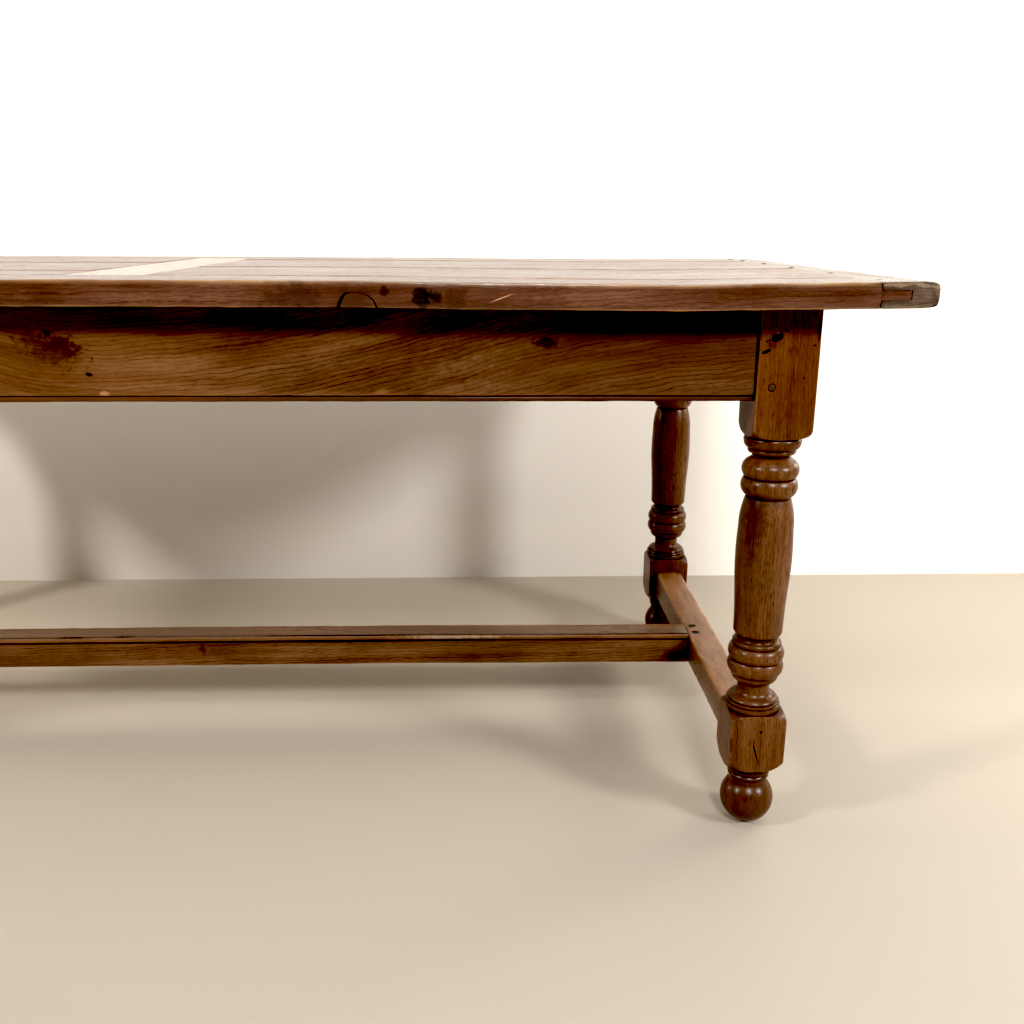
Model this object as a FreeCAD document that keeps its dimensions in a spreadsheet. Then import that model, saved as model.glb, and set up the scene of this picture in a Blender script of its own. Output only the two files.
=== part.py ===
import FreeCAD
import Part
import Sketcher
import math
import operator
import os

# Refectory table: a pegged oak frame on four turned legs, under a plank top clamped at both ends.
# Millimetres, +Z up, +X along the table. The origin is on the floor under the middle of the top.

SIZES = {
    # Overall
    "table_length": 1996,
    "table_width": 824,
    "table_height": 760,
    "end_overhang": 121,
    "side_overhang": 44,
    # Fits: the clearance round a tenon, tongue or peg, and the room left at the bottom of its hole
    "fit_gap": 0.2,
    "end_gap": 2,
    # How far a cutting tool runs past the surface that it starts from
    "cut_overrun": 5,
    # Legs
    "leg_square": 76,
    "upper_block": 165,
    "lower_block": 84.5,
    "foot_height": 96,
    "ball_diameter": 74,
    "foot_pad": 20,
    "foot_pad_height": 3,
    # Aprons, with a bead along the lower outer edge
    "apron_height": 116,
    "apron_thickness": 25,
    "apron_setback": 3,
    "apron_bead": 6,
    "apron_quirk": 1.6,
    "apron_tenon": 10,
    "apron_tenon_length": 45,
    "apron_haunch": 15,
    "apron_toe": 5,
    # Stretchers, the centre one with a bead on each upper edge
    "stretcher_rise": 9,
    "side_stretcher_width": 49,
    "side_stretcher_height": 50,
    "side_tenon": 16,
    "side_tenon_length": 45,
    "side_tenon_shoulder": 8,
    "centre_stretcher_width": 51,
    "centre_stretcher_height": 50,
    "centre_tenon": 14,
    "centre_tenon_width": 42,
    "centre_tenon_length": 34,
    "stretcher_bead": 6,
    "stretcher_quirk": 1.4,
    # Pegs
    "peg_diameter": 9.4,
    "peg_inset": 19,
    "peg_stand": 0.6,
    "apron_peg_length": 40,
    "low_peg_height": 18,
    "high_peg_height": 79,
    "side_peg_length": 62,
    "centre_peg_diameter": 11,
    "centre_peg_inset": 13,
    "centre_peg_spacing": 28,
    "centre_peg_length": 42,
    "cleat_peg_diameter": 8,
    "cleat_peg_inset": 14,
    # Top
    "top_thickness": 31,
    "board_gap": 0.4,
    "border_width": 95,
    "cross_board_width": 100,
    "cleat_width": 70,
    "cleat_corner": 6,
    "tongue_thickness": 11,
    "edge_tongue": 9,
    "end_tongue": 34,
    # Bearer under the cross board
    "bearer_width": 60,
    "bearer_height": 40,
    "bearer_tenon": 14,
    "bearer_tenon_width": 40,
    "bearer_tenon_length": 14,
    # Buttons that hold the top down, and their screws
    "button_length": 55,
    "button_width": 32,
    "button_thickness": 22,
    "button_lip": 9,
    "button_lip_thickness": 10,
    "screw_inset": 40,
    "screw_diameter": 4,
    "screw_head": 8,
    "screw_length": 38,
}

# Widths of the planks in each half of the top, from the front, as shares of the width between borders
PLANK_SHARES = {
    "left": (0.169, 0.237, 0.210, 0.384),
    "right": (0.396, 0.164, 0.315, 0.125),
}

# Places of the buttons along half of a long apron and half of an end apron
LONG_BUTTON_SHARES = (0.36, 0.73)
END_BUTTON_SHARE = 0.5

# The turned middle of the leg, from the lower block up: (radius, height), or (radius, height, radius
# and height of a point on the arc that arrives there). Radii are shares of half the leg's square, and
# heights are shares of the turned length.
TURNING_SHARES = (
    # Quirk and two rings over the lower block
    (0.961, 0.0000),
    (0.984, 0.0029),
    (0.974, 0.0196, 0.997, 0.0117),
    (0.937, 0.0216),
    (0.953, 0.0248),
    (0.921, 0.0321, 0.963, 0.0282),
    (0.879, 0.0342),
    # Bell, neck and the ring under the lower pair of beads
    (0.903, 0.0362),
    (0.789, 0.0488, 0.866, 0.0430),
    (0.574, 0.0743, 0.616, 0.0587),
    (0.568, 0.0993),
    (0.632, 0.1035),
    (0.842, 0.1270, 0.784, 0.1129),
    (0.853, 0.1322),
    # Lower pair of beads
    (0.874, 0.1348),
    (0.926, 0.1877, 0.997, 0.1635),
    (0.900, 0.1898),
    (0.921, 0.1922),
    (0.892, 0.2396, 0.995, 0.2146),
    (0.842, 0.2420),
    (0.842, 0.2449),
    # Ring and the cove under the vase
    (0.858, 0.2469),
    (0.816, 0.2615, 0.868, 0.2548),
    (0.721, 0.2704, 0.753, 0.2652),
    (0.711, 0.2793),
    # Vase
    (0.742, 0.2814),
    (0.868, 0.2991, 0.824, 0.2876),
    (0.926, 0.4550, 0.887, 0.3768),
    (0.947, 0.6767, 0.979, 0.5593),
    (0.779, 0.7849, 0.892, 0.7419),
    (0.742, 0.7870),
    (0.747, 0.7898),
    # Upper pair of beads
    (0.789, 0.7919),
    (0.874, 0.8545, 0.968, 0.8292),
    (0.837, 0.8561),
    (0.868, 0.8581),
    (0.750, 0.9192, 0.971, 0.8840),
    (0.647, 0.9278),
    # Neck, ring and collar under the upper block
    (0.639, 0.9338),
    (0.742, 0.9400),
    (0.803, 0.9541, 0.805, 0.9447),
    (0.813, 0.9562),
    (0.963, 0.9802, 0.921, 0.9656),
    (0.942, 0.9953, 0.971, 0.9896),
    (0.895, 0.9966),
    (0.895, 1.0000),
)

# The turning between the ball foot and the lower block, in the same form: a neck, two thin rings and the
# underside of the block's shoulder. Heights are shares of what the ball leaves of the foot's height.
FOOT_NECK_SHARE = 0.70
FOOT_RING_SHARES = (
    (0.695, 0.293),
    (0.726, 0.312),
    (0.732, 0.457, 0.758, 0.384),
    (0.716, 0.482),
    (0.721, 0.514),
    (0.753, 0.533),
    (0.789, 0.750, 0.797, 0.630),
    (0.971, 0.962),
    (0.971, 1.000),
)

# The shoulder that the lathe leaves on a block runs a little past the block's corners. Its curve starts
# at the first place, (out, along) in shares of its size, and passes through the second.
SHOULDER_SHARE = 1.03
ROUND_SHOULDER_SHARES = ((0, 0), (0.707, 0.293))
FOOT_SHOULDER_SHARES = ((0.17, 0), (0.65, 0.45))
# How far out the turned-away waste reaches, as a share of the leg's square
WASTE_SHARE = 0.9

doc = FreeCAD.newDocument("RefectoryTable")
sheet = doc.addObject("Spreadsheet::Sheet", "Sizes")
for row, (alias, value) in enumerate(SIZES.items(), start=1):
    sheet.set(f"A{row}", alias)
    sheet.set(f"B{row}", str(value))
    sheet.setAlias(f"B{row}", alias)
doc.recompute()


# Sizes that carry their formula

OPERATORS = {"+": operator.add, "-": operator.sub, "*": operator.mul, "/": operator.truediv}


class Size:
    """A length together with the spreadsheet formula that it is worked out from."""

    def __init__(self, value, formula):
        self.value = value
        self.formula = formula

    def __add__(self, other):
        return combined(self, "+", other)

    def __radd__(self, other):
        return combined(other, "+", self)

    def __sub__(self, other):
        return combined(self, "-", other)

    def __rsub__(self, other):
        return combined(other, "-", self)

    def __mul__(self, other):
        return combined(self, "*", other)

    def __rmul__(self, other):
        return combined(other, "*", self)

    def __truediv__(self, other):
        return combined(self, "/", other)

    def __neg__(self):
        return combined(0, "-", self)

    def root(self):
        return Size(math.sqrt(self.value), f"sqrt({self.formula})")


def as_size(amount):
    return amount if isinstance(amount, Size) else Size(amount, repr(amount))


def combined(left, sign, right):
    left = as_size(left)
    right = as_size(right)
    return Size(OPERATORS[sign](left.value, right.value), f"({left.formula} {sign} {right.formula})")


class SizeSheet:
    """Reads a driving dimension by its alias."""

    def __getattr__(self, alias):
        return Size(float(sheet.get(alias)), f"Sizes.{alias}")


size = SizeSheet()


# Shapes whose sizes and places are bound to the spreadsheet

def bind(thing, name, amount):
    thing.setExpression(name, as_size(amount).formula)


def place(thing, x, y, z):
    for axis, amount in zip("xyz", (x, y, z)):
        bind(thing, f"Placement.Base.{axis}", amount)


def block(x, y, z):
    """A box between the (low, high) pairs given for each axis."""
    box = doc.addObject("Part::Box", "Block")
    for side, (low, high) in zip(("Length", "Width", "Height"), (x, y, z)):
        bind(box, side, high - low)
    place(box, x[0], y[0], z[0])
    return box


TURNS = {
    "x": FreeCAD.Rotation(FreeCAD.Vector(0, 1, 0), 90),
    "y": FreeCAD.Rotation(FreeCAD.Vector(1, 0, 0), -90),
    "z": FreeCAD.Rotation(),
}


def rod(axis, diameter, start, length):
    """A cylinder that runs from start along +axis."""
    cylinder = doc.addObject("Part::Cylinder", "Rod")
    bind(cylinder, "Radius", diameter / 2)
    bind(cylinder, "Height", length)
    cylinder.Placement = FreeCAD.Placement(FreeCAD.Vector(), TURNS[axis])
    place(cylinder, *start)
    return cylinder


def joined(pieces):
    fusion = doc.addObject("Part::MultiFuse", "Joined")
    fusion.Shapes = pieces
    fusion.Refine = True
    return fusion


def group(pieces):
    """Like pieces that stay separate solids in one node."""
    compound = doc.addObject("Part::Compound", "Group")
    compound.Links = pieces
    return compound


def cut(base, tools):
    difference = doc.addObject("Part::Cut", "Worked")
    difference.Base = base
    difference.Tool = joined(tools) if len(tools) > 1 else tools[0]
    difference.Refine = True
    return difference


def mirrored(thing, axis):
    image = doc.addObject("Part::Mirroring", "Mirrored")
    image.Source = thing
    image.Normal = FreeCAD.Vector(*(float(letter == axis) for letter in "xyz"))
    return image


def both_sides(pieces, axis):
    """The pieces and their mirror images across the middle of the table."""
    return pieces + [mirrored(piece, axis) for piece in pieces]


def span(sign, near, far):
    """A (low, high) pair on the side of the middle that the sign gives."""
    return (near, far) if sign > 0 else (-far, -near)


nodes = []


def node(label, thing):
    thing.Label = label
    nodes.append(thing)
    return thing


# Sketches

def vector(x, y):
    return FreeCAD.Vector(as_size(x).value, as_size(y).value, 0)


def new_sketch(body, role):
    sketch = body.newObject("Sketcher::SketchObject", "Outline")
    plane = next(feature for feature in body.Origin.OriginFeatures if feature.Role == role)
    sketch.AttachmentSupport = [(plane, "")]
    sketch.MapMode = "FlatFace"
    return sketch


def end_at(sketch, edge, spot):
    """Which end of a sketch edge lies at the spot: 1 or 2."""
    gaps = [sketch.getPoint(edge, end).distanceToPoint(spot) for end in (1, 2)]
    return 1 if gaps[0] < gaps[1] else 2


def located(edge, end, x, y):
    """Constraints, with their formulas, that hold a sketch point at (x, y)."""
    pairs = []
    for kind, axis, amount in (("DistanceX", -2, x), ("DistanceY", -1, y)):
        if isinstance(amount, Size):
            pairs.append((Sketcher.Constraint(kind, edge, end, amount.value), amount.formula))
        else:
            pairs.append((Sketcher.Constraint("PointOnObject", edge, end, axis), None))
    return pairs


def add_loop(sketch, loop):
    """Draw a closed loop. Each entry is (x, y), or (x, y, x and y of a point on the arc to it)."""
    edges = []
    for number, entry in enumerate(loop):
        start = vector(*loop[number - 1][:2])
        end = vector(*entry[:2])
        if len(entry) == 4:
            edges.append(sketch.addGeometry(Part.Arc(start, vector(*entry[2:]), end)))
        else:
            edges.append(sketch.addGeometry(Part.LineSegment(start, end)))
    pairs = []
    for number, entry in enumerate(loop):
        edge = edges[number]
        following = edges[(number + 1) % len(edges)]
        corner = vector(*entry[:2])
        end = end_at(sketch, edge, corner)
        start = end_at(sketch, following, corner)
        pairs.append((Sketcher.Constraint("Coincident", edge, end, following, start), None))
        pairs += located(edge, end, *entry[:2])
        if len(entry) == 4:
            spot = sketch.addGeometry(Part.Point(vector(*entry[2:])), True)
            pairs += located(spot, 1, *entry[2:])
            pairs.append((Sketcher.Constraint("PointOnObject", spot, 1, edge), None))
    numbers = sketch.addConstraint([constraint for constraint, formula in pairs])
    for number, (constraint, formula) in zip(numbers, pairs):
        if formula:
            sketch.setExpression(f"Constraints[{number}]", formula)


def padded(role, loop, length):
    """A body that is one outline carried straight along the normal of its plane."""
    body = doc.addObject("PartDesign::Body", "Moulded")
    sketch = new_sketch(body, role)
    add_loop(sketch, loop)
    pad = body.newObject("PartDesign::Pad", "Pad")
    pad.Profile = sketch
    bind(pad, "Length", length)
    return body


# Main places, from the driving dimensions

half_length = size.table_length / 2
half_width = size.table_width / 2
underside = size.table_height - size.top_thickness
half_leg = size.leg_square / 2
leg_x = half_length - size.end_overhang - half_leg
leg_y = half_width - size.side_overhang - half_leg
# Inner faces of the legs, where the rails have their shoulders
rail_x = leg_x - half_leg
rail_y = leg_y - half_leg
# Outer faces of the legs
face_x = leg_x + half_leg
face_y = leg_y + half_leg
hole_gap = size.fit_gap * 2

apron_bottom = underside - size.apron_height
apron_tenon_z = (apron_bottom + size.apron_toe, underside - size.apron_haunch)
apron_outer_x = face_x - size.apron_setback
apron_outer_y = face_y - size.apron_setback
apron_inner_x = apron_outer_x - size.apron_thickness
apron_inner_y = apron_outer_y - size.apron_thickness
# The tenon lies in the middle of the apron's thickness
apron_cheek = (size.apron_thickness - size.apron_tenon) / 2

stretcher_bottom = size.foot_height + size.stretcher_rise
stretcher_top = stretcher_bottom + size.side_stretcher_height
side_tenon_z = (stretcher_bottom + size.side_tenon_shoulder, stretcher_top - size.side_tenon_shoulder)
side_stretcher_inner = leg_x - size.side_stretcher_width / 2
centre_bottom = stretcher_top - size.centre_stretcher_height
centre_middle = stretcher_top - size.centre_stretcher_height / 2


def eased(pair):
    """A (low, high) pair opened by the fit clearance on both sides."""
    return (pair[0] - size.fit_gap, pair[1] + size.fit_gap)


# Legs, each turned from one square billet, with the ball foot in the same piece

def turned_leg():
    """The billet of the front right leg after the lathe."""
    body = doc.addObject("PartDesign::Body", "TurnedLeg")
    billet = new_sketch(body, "XY_Plane")
    corner_signs = ((1, 1), (-1, 1), (-1, -1), (1, -1))
    add_loop(billet, [(half_leg * along, half_leg * across_sign) for along, across_sign in corner_signs])
    pad = body.newObject("PartDesign::Pad", "Billet")
    pad.Profile = billet
    bind(pad, "Length", underside)

    waste_radius = size.leg_square * WASTE_SHARE
    shoulder = half_leg * (math.sqrt(2) - 1) * SHOULDER_SHARE
    block_low = size.foot_height
    block_high = size.foot_height + size.lower_block
    turning_top = underside - size.upper_block
    turned_length = turning_top - block_high

    ball_radius = size.ball_diameter / 2
    pad_radius = size.foot_pad / 2
    foot_neck = half_leg * FOOT_NECK_SHARE
    ball_middle = size.foot_pad_height + (ball_radius * ball_radius - pad_radius * pad_radius).root()
    ball_top = ball_middle + (ball_radius * ball_radius - foot_neck * foot_neck).root()
    ring_room = block_low - ball_top

    def turned(shares, low, height):
        """A table of shares as sketch points."""
        points = []
        for entry in shares:
            point = []
            for radius_share, height_share in zip(entry[0::2], entry[1::2]):
                point += [half_leg * radius_share, low + height * height_share]
            points.append(tuple(point))
        return points

    def shoulder_curve(shares, end, direction):
        """The start, middle and end of a block's shoulder, from the block's end inwards."""
        places = shares + ((1, 1),)
        return [(half_leg + shoulder * out, end + shoulder * (along * direction)) for out, along in places]

    foot_start, foot_middle, foot_end = shoulder_curve(FOOT_SHOULDER_SHARES, block_low, 1)
    low_start, low_middle, low_end = shoulder_curve(ROUND_SHOULDER_SHARES, block_high, -1)
    high_start, high_middle, high_end = shoulder_curve(ROUND_SHOULDER_SHARES, turning_top, 1)
    foot_waste = [
        (waste_radius, -size.cut_overrun),
        (pad_radius, -size.cut_overrun),
        (pad_radius, size.foot_pad_height),
        (foot_neck, ball_top, ball_radius, ball_middle),
        *turned(FOOT_RING_SHARES, ball_top, ring_room),
        foot_start,
        foot_end + foot_middle,
        (waste_radius, foot_end[1]),
    ]
    middle_waste = [
        (waste_radius, low_end[1]),
        low_end,
        low_start + low_middle,
        *turned(TURNING_SHARES, block_high, turned_length),
        high_start,
        high_end + high_middle,
        (waste_radius, high_end[1]),
    ]
    for waste in (foot_waste, middle_waste):
        sketch = new_sketch(body, "XZ_Plane")
        add_loop(sketch, waste)
        doc.recompute()
        lathe = body.newObject("PartDesign::Groove", "Lathe")
        lathe.Profile = sketch
        lathe.ReferenceAxis = (sketch, ["V_Axis"])
        lathe.Angle = 360
        doc.recompute()
    place(body, leg_x, -leg_y, 0)
    return body


def leg_pegs(diameter, extra):
    """Pegs of the front right leg, or with extra depth and diameter the holes for them."""
    pegs = []
    stand = size.peg_stand
    for height in (apron_bottom + size.low_peg_height, apron_bottom + size.high_peg_height):
        length = size.apron_peg_length + stand + extra
        pegs.append(rod("y", diameter, (rail_x + size.peg_inset, -(face_y + stand), height), length))
        start = face_x + stand - length
        pegs.append(rod("x", diameter, (start, -(rail_y + size.peg_inset), height), length))
    length = size.side_peg_length + stand + extra
    start = face_x + stand - length
    middle = (stretcher_bottom + stretcher_top) / 2
    pegs.append(rod("x", diameter, (start, -(rail_y + size.peg_inset), middle), length))
    return pegs


leg_mortises = [
    block(
        (rail_x - size.cut_overrun, rail_x + size.apron_tenon_length + size.end_gap),
        eased((-(apron_outer_y - apron_cheek), -(apron_inner_y + apron_cheek))),
        eased(apron_tenon_z),
    ),
    block(
        eased((apron_inner_x + apron_cheek, apron_outer_x - apron_cheek)),
        (-(rail_y + size.apron_tenon_length + size.end_gap), -(rail_y - size.cut_overrun)),
        eased(apron_tenon_z),
    ),
    block(
        eased((leg_x - size.side_tenon / 2, leg_x + size.side_tenon / 2)),
        (-(rail_y + size.side_tenon_length + size.end_gap), -(rail_y - size.cut_overrun)),
        eased(side_tenon_z),
    ),
]
peg_holes = leg_pegs(size.peg_diameter + hole_gap, size.fit_gap)
front_right = node("leg_front_right", cut(turned_leg(), leg_mortises + peg_holes))
front_left = node("leg_front_left", mirrored(front_right, "x"))
node("leg_back_right", mirrored(front_right, "y"))
node("leg_back_left", mirrored(front_left, "y"))

pegs_front_right = node("joint_pegs_front_right", group(leg_pegs(size.peg_diameter, 0)))
pegs_front_left = node("joint_pegs_front_left", mirrored(pegs_front_right, "x"))
node("joint_pegs_back_right", mirrored(pegs_front_right, "y"))
node("joint_pegs_back_left", mirrored(pegs_front_left, "y"))


# Aprons, tenoned into the upper blocks, with a bead and quirk run along the lower outer edge

def apron_section():
    """Depth from the outer face, and height from the lower edge."""
    nose = size.apron_bead / 2
    quirk_top = size.apron_bead + size.apron_quirk
    return [
        (size.apron_thickness, 0),
        (size.apron_thickness, size.apron_height),
        (0, size.apron_height),
        (0, quirk_top),
        (nose, quirk_top),
        (nose, size.apron_bead),
        (nose, 0, 0, nose),
    ]


# Slots for the buttons that hold the top down, on the inner faces of the aprons
long_button_places = [rail_x * share for share in LONG_BUTTON_SHARES]
end_button_place = rail_y * END_BUTTON_SHARE
button_bottom = underside - size.button_thickness
button_lip_z = (button_bottom, button_bottom + size.button_lip_thickness)
slot_depth = size.button_lip + size.end_gap


def across(middle, width):
    return (middle - width / 2, middle + width / 2)


# Tenons of the bearer under the cross board, in the middle of its height
bearer_tenon_z = across(underside - size.bearer_height / 2, size.bearer_tenon)

front_rail = padded("YZ_Plane", apron_section(), rail_x * 2)
place(front_rail, -rail_x, -apron_outer_y, apron_bottom)
front_tenons = block(
    (-(rail_x + size.apron_tenon_length), rail_x + size.apron_tenon_length),
    (-(apron_outer_y - apron_cheek), -(apron_inner_y + apron_cheek)),
    apron_tenon_z,
)
front_slots = [
    block(
        eased(across(middle, size.button_width)),
        (-(apron_inner_y + slot_depth), -(apron_inner_y - size.cut_overrun)),
        eased(button_lip_z),
    )
    for middle in long_button_places
]
bearer_mortise = block(
    eased((-size.bearer_tenon_width / 2, size.bearer_tenon_width / 2)),
    (-(apron_inner_y + size.bearer_tenon_length + size.end_gap), -(apron_inner_y - size.cut_overrun)),
    eased(bearer_tenon_z),
)
front_cuts = both_sides(front_slots + peg_holes, "x") + [bearer_mortise]
apron_front = node("apron_front", cut(joined([front_rail, front_tenons]), front_cuts))
node("apron_back", mirrored(apron_front, "y"))

end_rail = padded("XZ_Plane", apron_section(), rail_y * 2)
place(end_rail, -apron_outer_x, rail_y, apron_bottom)
end_tenons = block(
    (-(apron_outer_x - apron_cheek), -(apron_inner_x + apron_cheek)),
    (-(rail_y + size.apron_tenon_length), rail_y + size.apron_tenon_length),
    apron_tenon_z,
)
end_slot = block(
    (-(apron_inner_x + slot_depth), -(apron_inner_x - size.cut_overrun)),
    eased(across(-end_button_place, size.button_width)),
    eased(button_lip_z),
)
end_cuts = both_sides([end_slot] + [mirrored(hole, "x") for hole in peg_holes], "y")
apron_left = node("apron_left", cut(joined([end_rail, end_tenons]), end_cuts))
node("apron_right", mirrored(apron_left, "x"))


# Side stretchers, tenoned into the lower blocks of the legs

side_bar = block(
    across(leg_x, size.side_stretcher_width),
    (-rail_y, rail_y),
    (stretcher_bottom, stretcher_top),
)
side_tenons = block(
    across(leg_x, size.side_tenon),
    (-(rail_y + size.side_tenon_length), rail_y + size.side_tenon_length),
    side_tenon_z,
)
centre_tenon_y = (-size.centre_tenon_width / 2, size.centre_tenon_width / 2)
centre_tenon_z = across(centre_middle, size.centre_tenon)
centre_tenon_end = side_stretcher_inner + size.centre_tenon_length
centre_mortise = block(
    (side_stretcher_inner - size.cut_overrun, centre_tenon_end + size.end_gap),
    eased(centre_tenon_y),
    eased(centre_tenon_z),
)


def centre_pegs(diameter, extra):
    """The two upright pegs of the centre stretcher's right tenon, or the holes for them."""
    length = size.centre_peg_length + size.peg_stand + extra
    bottom = stretcher_top + size.peg_stand - length
    x = side_stretcher_inner + size.centre_peg_inset
    return [rod("z", diameter, (x, y, bottom), length) for y in across(0, size.centre_peg_spacing)]


centre_peg_holes = centre_pegs(size.centre_peg_diameter + hole_gap, size.fit_gap)
side_cuts = both_sides(peg_holes, "y") + [centre_mortise] + centre_peg_holes
stretcher_right = node("stretcher_right", cut(joined([side_bar, side_tenons]), side_cuts))
node("stretcher_left", mirrored(stretcher_right, "x"))


# Centre stretcher, tenoned and pegged into the side stretchers, with a bead on each upper edge

def centre_section():
    """Depth from the front face, and height from the lower face. A bead with a quirk each side is
    worked on both upper edges."""
    width = size.centre_stretcher_width
    height = size.centre_stretcher_height
    bead = size.stretcher_bead
    nose = bead / 2
    quirk = bead + size.stretcher_quirk
    spare = nose * (1 - math.sqrt(0.5))
    return [
        (0, 0),
        (width, 0),
        (width, height - quirk),
        (width - nose, height - quirk),
        (width - nose, height - bead),
        (width - bead, height - nose, width - spare, height - spare),
        (width - quirk, height - nose),
        (width - quirk, height),
        (quirk, height),
        (quirk, height - nose),
        (bead, height - nose),
        (nose, height - bead, spare, height - spare),
        (nose, height - quirk),
        (0, height - quirk),
    ]


centre_bar = padded("YZ_Plane", centre_section(), side_stretcher_inner * 2)
place(centre_bar, -side_stretcher_inner, -size.centre_stretcher_width / 2, centre_bottom)
centre_tenons = block((-centre_tenon_end, centre_tenon_end), centre_tenon_y, centre_tenon_z)
centre_cuts = both_sides(centre_peg_holes, "x")
node("stretcher_centre", cut(joined([centre_bar, centre_tenons]), centre_cuts))
stretcher_pegs = node("stretcher_pegs_right", group(centre_pegs(size.centre_peg_diameter, 0)))
node("stretcher_pegs_left", mirrored(stretcher_pegs, "x"))


# Bearer under the cross board, tenoned into the long aprons

bearer_bar = block(
    (-size.bearer_width / 2, size.bearer_width / 2),
    (-apron_inner_y, apron_inner_y),
    (underside - size.bearer_height, underside),
)
bearer_tenons = block(
    (-size.bearer_tenon_width / 2, size.bearer_tenon_width / 2),
    (-(apron_inner_y + size.bearer_tenon_length), apron_inner_y + size.bearer_tenon_length),
    bearer_tenon_z,
)
node("top_bearer", joined([bearer_bar, bearer_tenons]))


# Buttons lipped into the aprons and screwed up into the top, first those of the front right quarter

def screw(x, y, gap):
    """A countersunk screw through a button, or with a gap the hole for it."""
    shank = size.screw_diameter / 2 + gap
    head = size.screw_head / 2 + gap
    cone = doc.addObject("Part::Cone", "Head")
    bind(cone, "Radius1", head)
    bind(cone, "Radius2", shank)
    bind(cone, "Height", head - shank)
    place(cone, x, y, button_bottom)
    return joined([cone, rod("z", shank * 2, (x, y, button_bottom), size.screw_length + gap)])


buttons = []
screws = []
screw_holes = []


def add_button(x, y, lip_x, lip_y, screw_x, screw_y):
    hole = screw(screw_x, screw_y, size.fit_gap)
    body = joined([block(x, y, (button_bottom, underside)), block(lip_x, lip_y, button_lip_z)])
    buttons.append(cut(body, [hole]))
    screws.append(screw(screw_x, screw_y, 0))
    screw_holes.append(hole)


for middle in long_button_places:
    width = across(middle, size.button_width)
    body_y = (-apron_inner_y, -(apron_inner_y - size.button_length))
    lip_y = (-(apron_inner_y + size.button_lip), -apron_inner_y)
    add_button(width, body_y, width, lip_y, middle, -(apron_inner_y - size.screw_inset))

width = across(-end_button_place, size.button_width)
body_x = (apron_inner_x - size.button_length, apron_inner_x)
lip_x = (apron_inner_x, apron_inner_x + size.button_lip)
add_button(body_x, width, lip_x, width, apron_inner_x - size.screw_inset, -end_button_place)

node("top_buttons", group(both_sides(both_sides(buttons, "x"), "y")))
node("button_screws", group(both_sides(both_sides(screws, "x"), "y")))


# Top: borders front and back, a cross board in the middle, planks between them, and cleats on the ends

top_z = (underside, size.table_height)
tongue_z = across(underside + size.top_thickness / 2, size.tongue_thickness)
groove_depth = size.edge_tongue + size.end_gap
half_gap = size.board_gap / 2
# The joint lines in plan: cleats, borders and cross board
cleat_line = half_length - size.cleat_width
border_line = half_width - size.border_width
cross_line = size.cross_board_width / 2
board_end = cleat_line - half_gap
tongue_end = board_end + size.end_tongue
cleat_peg_x = cleat_line + size.cleat_peg_inset


def cleat_peg(sign, y, diameter, overrun):
    """An upright peg through a cleat and the tongue in it, or with an overrun the hole for it."""
    start = (cleat_peg_x if sign > 0 else -cleat_peg_x, y, underside - overrun)
    return rod("z", diameter, start, size.top_thickness + overrun * 2)


cleat_hole = size.cleat_peg_diameter + hole_gap
border_middle = half_width - size.border_width / 2
border_y = (-half_width, -(border_line + half_gap))
border_board = block((-board_end, board_end), border_y, top_z)
border_tongues = block((-tongue_end, tongue_end), border_y, tongue_z)
border_groove = block(
    (-board_end, board_end),
    (border_y[1] - groove_depth, border_y[1] + size.cut_overrun),
    eased(tongue_z),
)
border_holes = [cleat_peg(sign, -border_middle, cleat_hole, size.cut_overrun) for sign in (-1, 1)]
border_cuts = [border_groove] + border_holes
border_front = node("top_border_front", cut(joined([border_board, border_tongues]), border_cuts))
node("top_border_back", mirrored(border_front, "y"))

cross_edge = cross_line - half_gap
cross_end = border_line - half_gap
cross_board = block((-cross_edge, cross_edge), (-cross_end, cross_end), top_z)
cross_tongues = block(
    (-cross_edge, cross_edge),
    (-(cross_end + size.edge_tongue), cross_end + size.edge_tongue),
    tongue_z,
)
cross_groove = block(
    (cross_edge - groove_depth, cross_edge + size.cut_overrun),
    (-cross_end, cross_end),
    eased(tongue_z),
)
node("top_cross_board", cut(joined([cross_board, cross_tongues]), both_sides([cross_groove], "x")))


def plank(sign, low_line, high_line, last, holes):
    """One board of a half top: tongued at both ends and in front, grooved behind for the next."""
    near = cross_line + half_gap
    low = low_line + half_gap
    high = high_line - half_gap
    board = block(span(sign, near, board_end), (low, high), top_z)
    end_tongues = block(span(sign, near - size.edge_tongue, tongue_end), (low, high), tongue_z)
    tongue_high = high + size.edge_tongue if last else high
    edge_tongues = block(
        span(sign, near + size.fit_gap, board_end - size.fit_gap),
        (low - size.edge_tongue, tongue_high),
        tongue_z,
    )
    cuts = list(holes)
    if not last:
        groove_y = (high - groove_depth, high + size.cut_overrun)
        cuts.append(block(span(sign, near, board_end), groove_y, eased(tongue_z)))
    return cut(joined([board, end_tongues, edge_tongues]), cuts)


def cleat_outline():
    """Depth out from the joint line, and distance along the cleat, with the outer corners rounded."""
    depth = size.cleat_width - half_gap
    corner = size.cleat_corner
    spare = corner * (1 - math.sqrt(0.5))
    return [
        (0, 0),
        (depth - corner, 0),
        (depth, corner, depth - spare, spare),
        (depth, size.table_width - corner),
        (depth - corner, size.table_width, depth - spare, size.table_width - spare),
        (0, size.table_width),
    ]


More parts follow.
